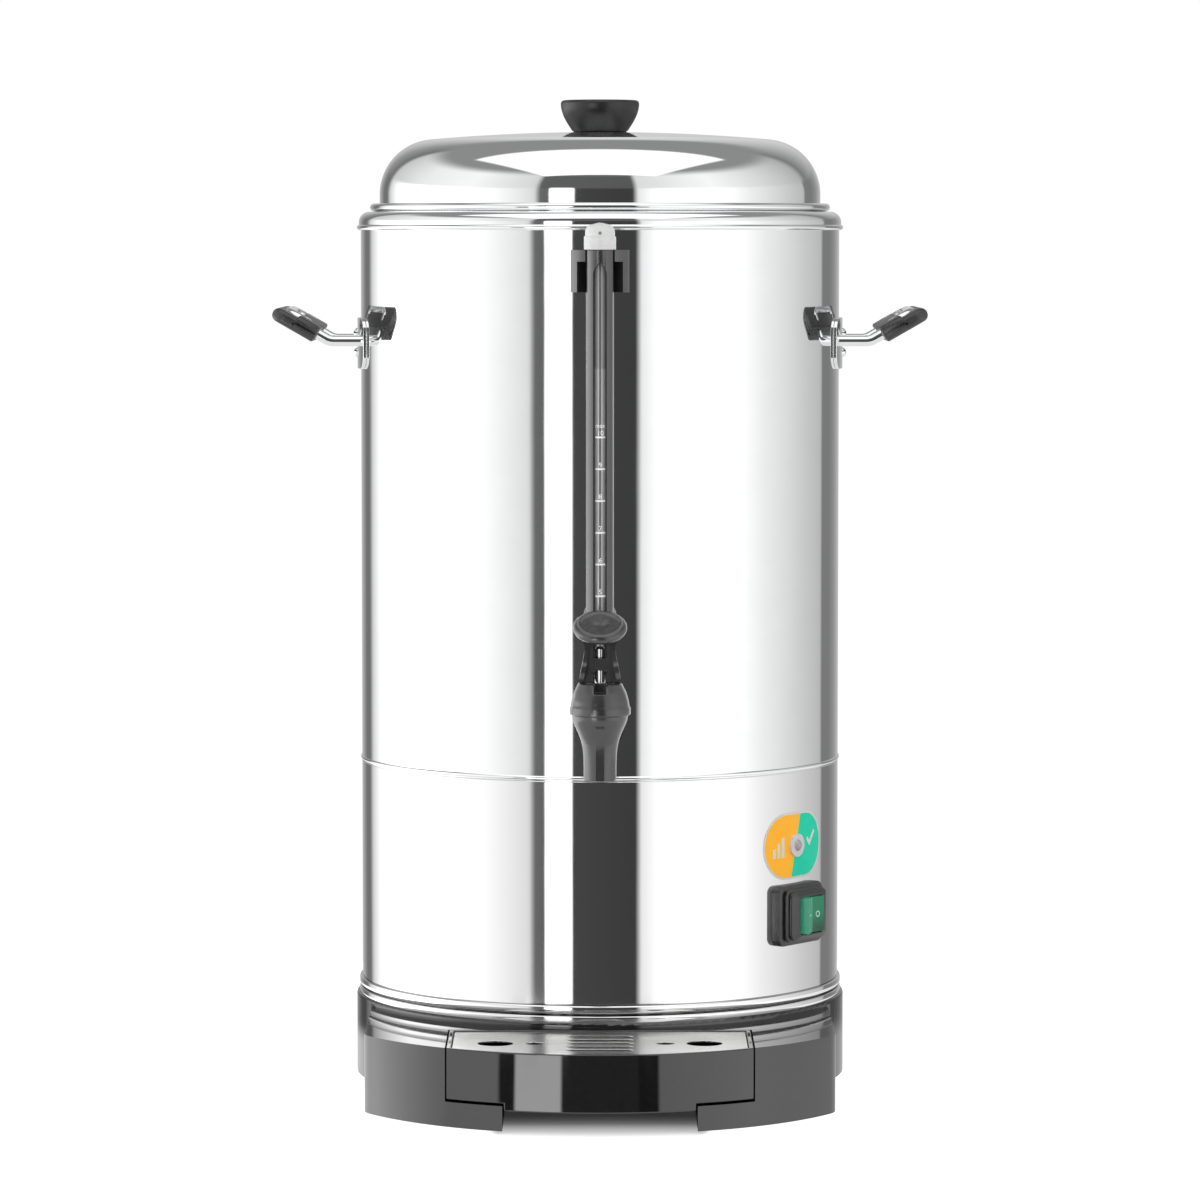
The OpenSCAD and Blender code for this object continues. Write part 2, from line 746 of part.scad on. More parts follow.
module tap_body() color("#1c1c1e") difference() {
    union() {
        at_tap() rotate_extrude()
            polygon(concat([[0, spout_z]], [for (i = [0:14]) spout_at(i / 14)], [[0, house_top]]));
        front_cyl(shank_r, body_r + washer_out, tap_y, tap_z);
        front_cyl(washer_r, body_r + washer_out, body_r + washer_out + flange_t, tap_z);
        front_cyl(thread_r, inner_r - shank_in, body_r + washer_out + over, tap_z);
        translate([0, -gauge_y, tap_z]) cylinder(r = socket_r, h = socket_top - tap_z);
        at_tap() across_x(rib_w) polygon(concat(
            [[0, spout_z]],
            [for (i = [0:8]) spout_at(rib_end * i / 8) + [rib_out, 0]],
            [spout_at(rib_end + 0.04), [0, spout_at(rib_end).y]]
        ));
    }
    at_tap() translate([0, 0, spout_z - over]) cylinder(r = spout_bore_r, h = house_top - spout_z);
    at_tap() translate([0, 0, seat_z]) cylinder(r = chamber_r, h = house_top);
    front_cyl(shank_bore_r, inner_r - shank_in - over, tap_y, tap_z);
    translate([0, -gauge_y, tap_z]) cylinder(r = glass_r - glass_t, h = base_h);
    translate([0, -gauge_y, glass_z - 3]) cylinder(r = glass_r + 2.5, h = base_h);
}

// Washers on both sides of the tank's wall
module tap_washers() color("#d9d5cc") difference() {
    union() {
        difference() {
            front_cyl(washer_r, inner_r, body_r + washer_out, tap_z);
            cylinder(r = body_r, h = rim_z);
        }
        intersection() {
            front_cyl(inner_washer_r, inner_r - washer_in, body_r, tap_z);
            cylinder(r = inner_r, h = rim_z);
        }
    }
    front_cyl(thread_r + running_fit, inner_r - 20, tap_y, tap_z);
}

module tap_nut() color("silver") difference() {
    front_nut(washer_r, inner_r - washer_in - 7, inner_r - washer_in, tap_z);
    front_cyl(thread_r + running_fit, inner_r - 20, body_r, tap_z);
}

module tap_bonnet() color("#1c1c1e") at_tap() difference() {
    rotate_extrude() polygon([
        [0, house_top], [valve_house_r + 0.8, house_top], [valve_house_r + 1.4, house_top + 0.8],
        [valve_house_r + 1.4, house_top + 4], [valve_house_r + 0.9, house_top + 4.8],
        [valve_house_r + 0.3, bonnet_top - 9], [valve_house_r - 0.9, bonnet_top - 5],
        [lever_w / 2 + 0.7, bonnet_top], [0, bonnet_top]
    ]);
    translate([0, 0, house_top - over]) cylinder(r = chamber_r, h = bonnet_h - 5);
    cylinder(r = stem_r + running_fit, h = rim_z);
    translate([-notch_w / 2, -valve_house_r - 5, bonnet_top - notch_h])
        cube([notch_w, valve_house_r + 1.5, notch_h + over]);
}

module valve_stem() color("#e8e8e6") at_tap() difference() {
    union() {
        translate([0, 0, seat_z + 4]) cylinder(r = stem_r, h = stem_top - seat_z - 4 - stem_r / 2);
        translate([0, 0, stem_top - stem_r / 2]) cylinder(r1 = stem_r, r2 = stem_r / 2, h = stem_r / 2);
        translate([0, 0, seat_z + 4]) cylinder(r = 5, h = 2);
    }
    translate([0, 0, pin_z]) rotate([0, 90, 0])
        cylinder(r = lever_pin_r + running_fit, h = 20, center = true);
}

// Soft cup that closes the spout's seat
module valve_seal() color("#f0eee8") at_tap() difference() {
    translate([0, 0, seat_z + seat_gap]) rotate_extrude()
        polygon([[0, 0], [seal_r - 0.6, 0], [seal_r, 1], [seal_r - 0.4, 5], [seal_r - 1.5, 9], [0, 9]]);
    translate([0, 0, seat_z + 4 - fit]) cylinder(r = 5 + fit, h = 2 + 2 * fit);
    translate([0, 0, seat_z + 4]) cylinder(r = stem_r + fit, h = 20);
}

// Lever side outline: round cam, then an arm that narrows towards the paddle
module lever_side() {
    translate([cam_offset, pin_z]) circle(cam_r);
    polygon([
        [-4.5, pin_z - 3], [cam_offset + 6, pin_z],
        [4.5, pin_z + paddle_rise], [-4, pin_z + paddle_rise]
    ]);
}

// Lever front outline: cheeks, a neck and a flare into the paddle
module lever_front() for (s = [0, 1]) mirror([s, 0]) polygon([
    [0, pin_z - cam_r - over], [lever_w / 2, pin_z - cam_r - over], [lever_w / 2, pin_z - 4],
    [neck_w / 2, pin_z + 10], [neck_w / 2, pin_z + 13], [neck_w / 2 + 1, pin_z + 15.5],
    [paddle_r * 0.82, pin_z + paddle_rise - 1.6], [paddle_r * 0.9, pin_z + paddle_rise + 1],
    [0, pin_z + paddle_rise + 1]
]);

// Recess in the lever's front, between its cheeks
module lever_recess() translate([0, -recess_y, 0]) rotate([90, 0, 0]) linear_extrude(20)
    for (s = [0, 1]) mirror([s, 0]) polygon([
        [-over, pin_z - cam_r - over], [lever_w / 2 - cheek_w, pin_z - cam_r - over],
        [lever_w / 2 - cheek_w, pin_z - 4], [neck_w / 2 - cheek_w, pin_z + 10],
        [neck_w / 2 - cheek_w, pin_z + 14.5], [-over, pin_z + 14.5]
    ]);

module tap_lever() color("#1c1c1e") at_tap() difference() {
    union() {
        intersection() {
            across_x(lever_w + 20) lever_side();
            rotate([90, 0, 0]) linear_extrude(lever_depth, center = true) lever_front();
        }
        translate([0, -3, pin_z + paddle_rise]) rotate([28, 0, 0]) rotate_extrude()
            polygon(concat(
                [[0, -3]], arc([paddle_r - 3, 0], 3, -90, 90, 10), [[paddle_r - 5, 2.4], [0, 1]]
            ));
    }
    translate([-lever_slot, -20, pin_z - cam_r - over]) cube([2 * lever_slot, 40, cam_r + over]);
    translate([-lever_slot, -web_y, pin_z - over]) cube([2 * lever_slot, 30, 15.5]);
    translate([-lever_slot, -20, pin_z + web_h]) cube([2 * lever_slot, 40, 14.5 - web_h]);
    lever_recess();
    translate([0, 0, pin_z]) rotate([0, 90, 0])
        cylinder(r = lever_pin_r + running_fit, h = 40, center = true);
}

module lever_pin() color("silver") at_tap() translate([0, 0, pin_z]) rotate([0, 90, 0])
    cylinder(r = lever_pin_r, h = lever_w - 4, center = true);

module at_gauge() translate([0, -gauge_y, 0]) children();

module gauge_tube() color("#dfe9ee") at_gauge() difference() {
    translate([0, 0, glass_z]) cylinder(r = glass_r, h = glass_top - glass_z);
    cylinder(r = glass_r - glass_t, h = rim_z);
}

module gauge_seal() color("#d9d5cc") at_gauge() difference() {
    translate([0, 0, glass_z - 3]) cylinder(r = glass_r + 2.5 - fit, h = socket_top - glass_z + 3);
    translate([0, 0, glass_z]) cylinder(r = glass_r + fit / 2, h = base_h);
    cylinder(r = glass_r - glass_t, h = rim_z);
}

// Guard round the glass, with a long window in front and an open back
module gauge_guard() color("#1c1c1e") at_gauge() difference() {
    translate([0, 0, guard_z]) linear_extrude(guard_top - guard_z) difference() {
        union() {
            circle(guard_half_w);
            translate([-guard_half_w, 0]) square([2 * guard_half_w, gauge_reach - 1.2]);
        }
        circle(glass_r + 0.6);
        translate([-glass_r - 0.6, 0]) square([2 * glass_r + 1.2, gauge_reach]);
    }
    gauge_window();
}

// Long window in the guard, with a pointed top
module gauge_window() translate([0, 0, guard_top - arch_drop]) rotate([90, 0, 0]) linear_extrude(20) {
    translate([-window_half_w, guard_z + 4 - guard_top + arch_drop])
        square([2 * window_half_w, guard_top - guard_z - 4 - arch_drop]);
    intersection_for(s = [-1, 1]) translate([s * window_half_w, 0]) circle(2 * window_half_w);
}

// Clip at the gauge's top, screwed to the tank
module gauge_bracket() color("#1c1c1e") difference() {
    union() {
        front_block(bracket_w, bracket_h, 2, inner_r, gauge_y + bracket_front, guard_top - bracket_h / 2);
        at_gauge() translate([0, 0, guard_top - band_h]) cylinder(r = guard_half_w + band_t, h = band_h);
    }
    cylinder(r = body_r, h = rim_z);
    at_gauge() linear_extrude(rim_z) {
        circle(guard_half_w + fit);
        translate([-guard_half_w - fit, 0]) square([2 * (guard_half_w + fit), gauge_reach + over]);
    }
    for (s = [-1, 1]) translate([s * 10.4 - 2, -gauge_y - 20, guard_top - bracket_h - over])
        cube([4, gauge_reach + 16, bracket_h - 5.3]);
    gauge_screw_places() front_cyl(screw_r, inner_r, body_r + 9, 0);
}

module gauge_screw_places() for (s = [-1, 1])
    translate([s * 12.6, 0, guard_top - 3]) children();

module gauge_screws() color("silver") gauge_screw_places() {
    front_cyl(screw_r - running_fit, inner_r - 2, body_r + 8.5, 0);
    front_cyl(3.6, inner_r - 3.6, inner_r - 1.1, 0);
}

// Vented cap on the glass
module gauge_cap() color("#f2f3f1") at_gauge() difference() {
    translate([0, 0, guard_top + seat_gap]) rotate_extrude() polygon(concat(
        [[0, 0], [cap_r - 0.5, 0], [cap_r, 0.6], [cap_r, cap_h - cap_r + 1]],
        arc([0, cap_h - cap_r + 1], cap_r - 1, 5, 90, 10)
    ));
    translate([0, 0, guard_top - over]) cylinder(r = glass_r + fit, h = glass_top - guard_top + 2);
    translate([0, 0, guard_top]) cylinder(r = 0.8, h = 40);
}

module left() mirror([1, 0, 0]) children();

// Plate that follows the body's curve
module handle_plate() color("#c9ccd0") intersection() {
    rotate_extrude() ring(body_r, body_r + plate_t, handle_z - plate_h, handle_z + plate_h);
    translate([0, 0, handle_z - 1.5]) rotate([90, 0, 90]) linear_extrude(body_r * 2)
        rounded_rect(plate_w, plate_h, 5);
}

// Frame of the sloping half of the handle, x along the slope
module on_slope()
    translate([leg_x + bend_r * sin(grip_tilt), 0, handle_z + bend_r * (1 - cos(grip_tilt))])
        rotate([0, -grip_tilt, 0]) children();

// Middle line of the wire: from one leg's foot over its bend and corner to the middle of the crossbar
function slope_point(x, y) = [
    leg_x + bend_r * sin(grip_tilt) + x * cos(grip_tilt), y,
    handle_z + bend_r * (1 - cos(grip_tilt)) + x * sin(grip_tilt)
];
function half_wire(s) = concat(
    [[wire_foot_x, s * leg_y, handle_z]],
    [for (i = [0:bend_steps]) let(a = grip_tilt * i / bend_steps)
        [leg_x + bend_r * sin(a), s * leg_y, handle_z + bend_r * (1 - cos(a))]],
    [for (i = [0:corner_steps]) let(a = 90 * i / corner_steps)
        slope_point(cross_x - corner_r + corner_r * sin(a), s * (leg_y - corner_r + corner_r * cos(a)))]
);
function reversed(list) = [for (i = [len(list) - 1 : -1 : 0]) list[i]];
function unit(v) = v / norm(v);

// Round tube along a path whose sections keep the direction up in view
module tube(path, r, up) {
    n = len(path);
    rings = [for (i = [0 : n - 1])
        let(
            t = unit(path[min(i + 1, n - 1)] - path[max(i - 1, 0)]),
            u = unit(cross(up, t)),
            v = cross(t, u)
        )
        for (k = [0 : wire_sides - 1]) let(a = 360 * k / wire_sides)
            path[i] + r * (cos(a) * u + sin(a) * v)];
    sides = [for (i = [0 : n - 2], k = [0 : wire_sides - 1])
        let(a = i * wire_sides + k, b = i * wire_sides + (k + 1) % wire_sides)
        each [[a, a + wire_sides, b], [b, a + wire_sides, b + wire_sides]]];
    first = [for (k = [0 : wire_sides - 1]) k];
    last = [for (k = [wire_sides - 1 : -1 : 0]) (n - 1) * wire_sides + k];
    polyhedron(rings, concat(sides, [first, last]));
}

module handle_wire() color("#d4d7da") difference() {
    tube(concat(half_wire(-1), reversed(half_wire(1))), wire_r, [-sin(grip_tilt), 0, cos(grip_tilt)]);
    cylinder(r = body_r + plate_t, h = rim_z);
}

// Grip with channels for the wire, open above the crossbar
module handle_grip() color("#1c1c1e") on_slope() difference() {
    translate([0, 0, -grip_sink]) intersection() {
        rotate([90, 0, 0]) linear_extrude(grip_w, center = true) {
            translate([0, -grip_t / 2]) square([grip_len - grip_t / 2, grip_t]);
            translate([grip_len - grip_t / 2, 0]) circle(grip_t / 2);
        }
        linear_extrude(2 * grip_t, center = true) {
            translate([grip_len / 2, 0]) rounded_rect(grip_len, grip_w, 8);
            translate([0, -grip_w / 2]) square([grip_len / 2, grip_w]);
        }
    }
    channel = 2 * (wire_r + fit);
    for (s = [-1, 1]) translate([-over, s * leg_y - channel / 2, -channel / 2])
        cube([cross_x + over, channel, channel]);
    translate([cross_x - corner_r, -leg_y - channel / 2, -channel / 2])
        cube([corner_r + channel / 2, 2 * leg_y + channel, channel]);
    translate([cross_x - channel / 2, -leg_y + corner_r, 0])
        cube([channel, 2 * (leg_y - corner_r), grip_t]);
    for (s = [-1, 1]) translate([-over, s * grip_w / 2 - end_slot, -end_slot / 4 - grip_sink])
        cube([grip_len / 2, 2 * end_slot, end_slot / 2]);
}

module handle_plate_left() left() handle_plate();
module handle_plate_right() handle_plate();
module handle_wire_left() left() handle_wire();
module handle_wire_right() handle_wire();
module handle_grip_left() left() handle_grip();
module handle_grip_right() handle_grip();

// Domed rivets, one above and one below the legs on either side
module handle_rivets() color("#d4d7da") for (s = [0, 1], dz = [-rivet_drop, rivet_rise]) mirror([s, 0, 0])
    translate([body_r + plate_t, 0, handle_z + dz]) rotate([0, 90, 0]) rotate_extrude()
        polygon(concat([[0, 0]], arc([0, -rivet_sink], rivet_r, asin(rivet_sink / rivet_r), 90, 8)));

// Lid section: plug, rolled flange, rounded shoulder and shallow dome
module lid_section() {
    polygon(concat(
        [[lid_r, rim_z - plug_depth]],
        arc([corner_x, corner_z], lid_corner_r, 0, corner_end, 16),
        arc([0, dome_z], lid_dome_r, corner_end, 90, 8),
        arc([0, dome_z], lid_dome_r - lid_t, 90, corner_end, 8),
        arc([corner_x, corner_z], lid_corner_r - lid_t, corner_end, 0, 16),
        [[lid_r - lid_t, rim_z - plug_depth]]
    ));
    bead_x = mouth_r + rim_t / 2 + 1;
    ring(lid_r - lid_t / 2, bead_x, lid_seat_z, lid_seat_z + lid_t);
    translate([bead_x, lid_seat_z + flange_bead_r]) circle(flange_bead_r);
}

module lid_shell() color("silver") difference() {
    rotate_extrude() lid_section();
    translate([0, 0, rim_z]) cylinder(r = screw_r + fit, h = lid_h + over);
}

// Knob with a bellied side and a dished top
module lid_knob() color("#1c1c1e") difference() {
    translate([0, 0, lid_top]) rotate_extrude() polygon(concat(
        [[0, 0.1], [knob_foot_r - 0.5, 0.1], [knob_foot_r, 0.6]],
        [for (i = [1:8]) let(t = i / 8)
            [knob_foot_r + (knob_r - knob_foot_r) * sin(90 * t), (knob_h - 2) * t]],
        arc([knob_r - 2, knob_h - 2], 2, 0, 90, 6),
        [[knob_r - 6, knob_h - 0.4], [0, knob_h - 1.2]]
    ));
    translate([0, 0, lid_top - over]) cylinder(r = screw_r, h = 11);
}

module knob_screw() color("silver") {
    translate([0, 0, lid_top - lid_t - 0.2]) cylinder(r = screw_r - running_fit, h = 10);
    translate([0, 0, lid_top - lid_t - 2.7]) cylinder(r = 4, h = 2.5);
}

// Tube that carries the hot water up, with the stop that the basket rests on
module pump_tube() color("#c9ccd0") difference() {
    union() {
        translate([0, 0, foot_z + bell_h - 4]) cylinder(r = pump_r, h = pump_top - foot_z - bell_h + 4);
        translate([0, 0, basket_z - seat_gap - stop_h]) cylinder(r1 = pump_r, r2 = pump_r + 4, h = stop_h);
    }
    translate([0, 0, foot_z]) cylinder(r = pump_r - pump_t, h = rim_z);
}

// Bell foot in the heating well, with inlets round its edge
module pump_foot() color("#c9ccd0") difference() {
    translate([0, 0, foot_z]) rotate_extrude() polygon([
        [bell_r - 1.2, 0], [bell_r, 0], [bell_r, 5], [pump_r + 4, 15],
        [pump_r + 1.5, 18], [pump_r + 1.5, bell_h],
        [pump_r + running_fit, bell_h], [pump_r + running_fit, bell_h - 4.2],
        [pump_r - pump_t, bell_h - 4.2], [pump_r - pump_t, 15],
        [pump_r + 3, 13.5], [bell_r - 1.2, 4]
    ]);
    for (a = [0:60:300]) rotate([0, 0, a]) translate([bell_r, 0, foot_z]) rotate([0, 90, 0])
        cylinder(r = 3, h = 10, center = true);
}

module hole_rings(r_hole, rings, pitch, h) for (k = rings, i = [0 : 6 * k - 1])
    rotate([0, 0, 60 * i / k]) translate([k * pitch, 0, 0]) cylinder(r = r_hole, h = h, $fn = 24);

module filter_basket() color("#c9ccd0") difference() {
    rotate_extrude() {
        ring(basket_r - basket_t, basket_r, basket_z, basket_top);
        ring(sleeve_r, basket_r, basket_z, basket_z + basket_t);
        ring(sleeve_r, sleeve_r + sleeve_t, basket_z, basket_top - 6);
        translate([basket_r - basket_t / 2, basket_top]) circle(basket_t);
    }
    translate([0, 0, basket_z - over]) hole_rings(2, [2, 3, 4], basket_r / 5, 3 * over);
}

// Spreader that lies on the basket's rim
module basket_cover() color("#c9ccd0") difference() {
    cover_z = basket_top + basket_t + seat_gap;
    rotate_extrude() {
        dish_r = basket_r - cover_brim;
        ring(dish_r, basket_r + 2.5, cover_z, cover_z + basket_t);
        ring(basket_r + 1.5, basket_r + 2.5, cover_z - cover_sink - 1, cover_z);
        ring(dish_r, dish_r + basket_t, cover_z - cover_sink, cover_z + basket_t);
        ring(sleeve_r, dish_r + basket_t, cover_z - cover_sink, cover_z - cover_sink + basket_t);
        ring(sleeve_r, sleeve_r + sleeve_t, cover_z - cover_sink, cover_z + cover_sink);
    }
    translate([0, 0, cover_z - cover_sink - over]) hole_rings(2, [1, 2, 3], basket_r / 4, 3 * over);
}

// Plan of the tray, drawn in by d, between the bay's back and the curved front
module tray_plan(half_w, d) intersection() {
    translate(block_c) circle(block_front_r - d, $fn = 240);
    translate([-half_w + d, -block_reach])
        square([2 * (half_w - d), block_reach - bay_back - tray_gap - d]);
}

module drip_tray() color("#1c1c1e") difference() {
    union() {
        translate([0, 0, tray_z + runner_h]) linear_extrude(block_h - tray_z - runner_h)
            tray_plan(tray_half_w, 0);
        translate([0, 0, ledge_z - tongue_drop]) linear_extrude(tongue_drop + runner_h + over)
            tray_plan(tongue_half_w, 0);
        for (s = [-1, 1]) translate([s * runner_x - runner_w / 2, -block_reach + runner_back, tray_z])
            cube([runner_w, block_reach - runner_back - bay_back - 2 * tray_gap, runner_h + over]);
    }
    translate([0, 0, tray_floor_z]) linear_extrude(block_h) tray_plan(tray_half_w, tray_wall + grid_ledge);
    translate([0, 0, grid_z - seat_gap]) linear_extrude(block_h) tray_plan(tray_half_w, tray_wall);
}

// Grid with round holes and a middle row of slots, set down inside the tray's rim
module drip_grid() color("#d4d7da") difference() {
    translate([0, 0, grid_z]) linear_extrude(grid_t) tray_plan(tray_half_w, tray_wall + 0.4);
    translate([0, -(block_reach + bay_back) / 2, grid_z - over]) linear_extrude(grid_t + 2 * over) {
        for (s = [-1, 1]) {
            translate([s * drain_x, 0]) circle(drain_r);
            translate([s * (drain_x - 21), 0]) circle(drain_r / 2);
        }
        for (i = [-2 : 2]) translate([0, i * slit_pitch]) rotate([0, 0, 90]) vent_slot(slit_w, slit_l);
    }
}

stand() tank_shell();
stand() lower_skirt();
stand() base_housing();
stand() bottom_plate();
stand() feet();
stand() base_screws();
stand() tie_rods();
stand() tie_nuts();
stand() heater_plate();
stand() heating_element();
stand() thermostat();
stand() thermal_cutout();
stand() terminal_block();
stand() cord_gland();
stand() gland_nut();
stand() switch_frame();
stand() switch_body();
stand() switch_rocker();
stand() indicator_bezel();
stand() indicator_lens();
stand() tap_body();
stand() tap_washers();
stand() tap_nut();
stand() tap_bonnet();
stand() valve_stem();
stand() valve_seal();
stand() tap_lever();
stand() lever_pin();
stand() gauge_tube();
stand() gauge_seal();
stand() gauge_guard();
stand() gauge_bracket();
stand() gauge_screws();
stand() gauge_cap();
stand() handle_plate_left();
stand() handle_plate_right();
stand() handle_wire_left();
stand() handle_wire_right();
stand() handle_grip_left();
stand() handle_grip_right();
stand() handle_rivets();
stand() lid_shell();
stand() lid_knob();
stand() knob_screw();
stand() pump_tube();
stand() pump_foot();
stand() filter_basket();
stand() basket_cover();
stand() drip_tray();
stand() drip_grid();
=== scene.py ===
"""Looks of the coffee urn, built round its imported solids.

Blender's metres, +Z up, the front faces -Y. Heights and distances come from the frame where it has
them. Sizes of pieces are in millimetres, and MM turns them into metres.
"""

import math

import bmesh
import bpy
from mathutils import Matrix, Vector


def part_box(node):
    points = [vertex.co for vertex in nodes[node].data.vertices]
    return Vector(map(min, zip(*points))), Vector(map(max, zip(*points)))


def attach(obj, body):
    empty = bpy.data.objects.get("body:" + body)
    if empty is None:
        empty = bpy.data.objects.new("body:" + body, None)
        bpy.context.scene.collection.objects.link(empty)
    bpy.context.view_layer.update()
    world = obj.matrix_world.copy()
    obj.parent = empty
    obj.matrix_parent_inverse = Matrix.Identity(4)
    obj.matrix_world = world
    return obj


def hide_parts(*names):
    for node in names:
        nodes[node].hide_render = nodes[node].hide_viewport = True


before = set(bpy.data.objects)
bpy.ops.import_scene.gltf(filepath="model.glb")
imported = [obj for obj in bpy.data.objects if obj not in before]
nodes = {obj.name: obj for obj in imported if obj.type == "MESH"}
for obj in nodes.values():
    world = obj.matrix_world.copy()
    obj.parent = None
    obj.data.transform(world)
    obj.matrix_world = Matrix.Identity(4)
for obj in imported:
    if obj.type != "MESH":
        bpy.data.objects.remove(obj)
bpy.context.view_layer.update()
scene = bpy.context.scene
scene.view_settings.view_transform = "Standard"

MM = 0.001

# Main sizes, from the frame
tank_lo, tank_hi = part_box("tank_shell")
skirt_lo, skirt_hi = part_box("lower_skirt")
lid_lo, lid_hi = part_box("lid_shell")
AXIS_Y = (tank_lo.y + tank_hi.y) / 2
# Turn of the switch and its plate from the front, in degrees
SWITCH_TURN = 53.4


# Camera, at the photograph's view
CAMERA_DISTANCE = 3.029
CAMERA_Z = 0.478
CAMERA_PITCH = 3.956
CAMERA_LENS = 160.5

camera = bpy.data.objects.new("camera", bpy.data.cameras.new("camera"))
camera.data.sensor_width = 36
camera.data.lens = CAMERA_LENS
camera.location = (0, AXIS_Y - CAMERA_DISTANCE, CAMERA_Z)
camera.rotation_euler = (math.radians(90 - CAMERA_PITCH), 0, 0)
scene.collection.objects.link(camera)
scene.camera = camera


# Node helpers
def link_or_set(tree, socket, value):
    """Links a socket to another node's output, or sets it to a plain value."""
    if isinstance(value, bpy.types.NodeSocket):
        tree.links.new(value, socket)
    else:
        socket.default_value = value


def math_node(tree, operation, *values, clamp=False):
    node = tree.nodes.new("ShaderNodeMath")
    node.operation = operation
    node.use_clamp = clamp
    for socket, value in zip(node.inputs, values):
        link_or_set(tree, socket, value)
    return node.outputs[0]


def step_node(tree, value, start, end):
    """0 below start, 1 above end, smooth between."""
    node = tree.nodes.new("ShaderNodeMapRange")
    node.interpolation_type = "SMOOTHSTEP"
    link_or_set(tree, node.inputs["Value"], value)
    node.inputs["From Min"].default_value = start
    node.inputs["From Max"].default_value = end
    return node.outputs["Result"]


def split_place(tree, place):
    """The x, y and z of a place."""
    node = tree.nodes.new("ShaderNodeSeparateXYZ")
    tree.links.new(place, node.inputs[0])
    return node.outputs


def mix_node(tree, factor, low, high):
    """Blend of two colours or greys."""
    node = tree.nodes.new("ShaderNodeMix")
    node.data_type = "RGBA"
    link_or_set(tree, node.inputs["Factor"], factor)
    for socket, value in ((node.inputs[6], low), (node.inputs[7], high)):
        link_or_set(tree, socket, (value, value, value, 1) if isinstance(value, float) else value)
    return node.outputs[2]


def ramp_node(tree, factor, stops):
    """Grey ramp from (place, level) stops."""
    node = tree.nodes.new("ShaderNodeValToRGB")
    link_or_set(tree, node.inputs["Fac"], factor)
    elements = node.color_ramp.elements
    while len(elements) < len(stops):
        elements.new(1)
    for element, (place, level) in zip(elements, stops):
        element.position = place
        element.color = (level, level, level, 1)
    return node.outputs["Color"]


# Studio: bright panels left, right and overhead, with dark gaps between them.
# Each stop is an azimuth in degrees from the camera, to its right, and a level.
PANELS_LOW = [
    (-180, 0.62), (-168, 0.48), (-154, 0.17), (-147, 0.17), (-142, 0.68), (-105, 2.3), (-84, 2.2),
    (-66, 1.2), (-34, 0.76), (-31.4, 0.15), (-26.5, 0.12), (-25, 2.8), (-14.2, 2.8), (-13.4, 0.06),
    (18, 0.045), (18.6, 0.83), (30, 1.2), (61, 1.25), (85, 0.9), (115, 0.62), (133, 0.5), (135, 0.2),
    (145, 0.2), (154, 0.28), (168, 0.5), (180, 0.62),
]
PANELS_HIGH = [
    (-180, 0.72), (-160, 0.3), (-147, 0.17), (-142, 0.6), (-105, 0.9), (-71, 1.0), (-34, 0.7),
    (-31, 0.12), (18, 0.1), (18.6, 0.75), (61, 1.0), (85, 0.8), (133, 0.45), (140, 0.2), (180, 0.72),
]
PANELS_FLOOR = [
    (-180, 0.6), (-130, 1.8), (-110, 2.3), (-90, 1.7), (-67, 1.05), (-43.6, 1.1), (-42.8, 0.02),
    (-36, 0.02), (-35.2, 3.4), (-16.4, 3.4), (-15.6, 0.07), (16, 0.07), (16.8, 0.0), (24.4, 0.0),
    (25.2, 1.0), (66, 1.25), (110, 0.95), (180, 0.6),
]
# Where one ring of panels gives way to the next, as the sine of its height above level
NEAR_TOP = math.sin(math.radians(-24))
FLOOR_TOP = math.sin(math.radians(-8.5))
CARD_TOP = math.sin(math.radians(10))
PANEL_TOP = math.sin(math.radians(38))
EDGE = 0.04
FLOOR_EDGE = 0.002
# Levels of the near floor, the ceiling and the overhead panel, and that panel's reach at unit height
NEAR_FLOOR = 0.85
OVERHEAD_HALF_W = 0.8
OVERHEAD_FRONT = -1.28
OVERHEAD_BACK = 0.2
CEILING = 0.27
OVERHEAD = 1.2
LEAST_HEIGHT = 0.01


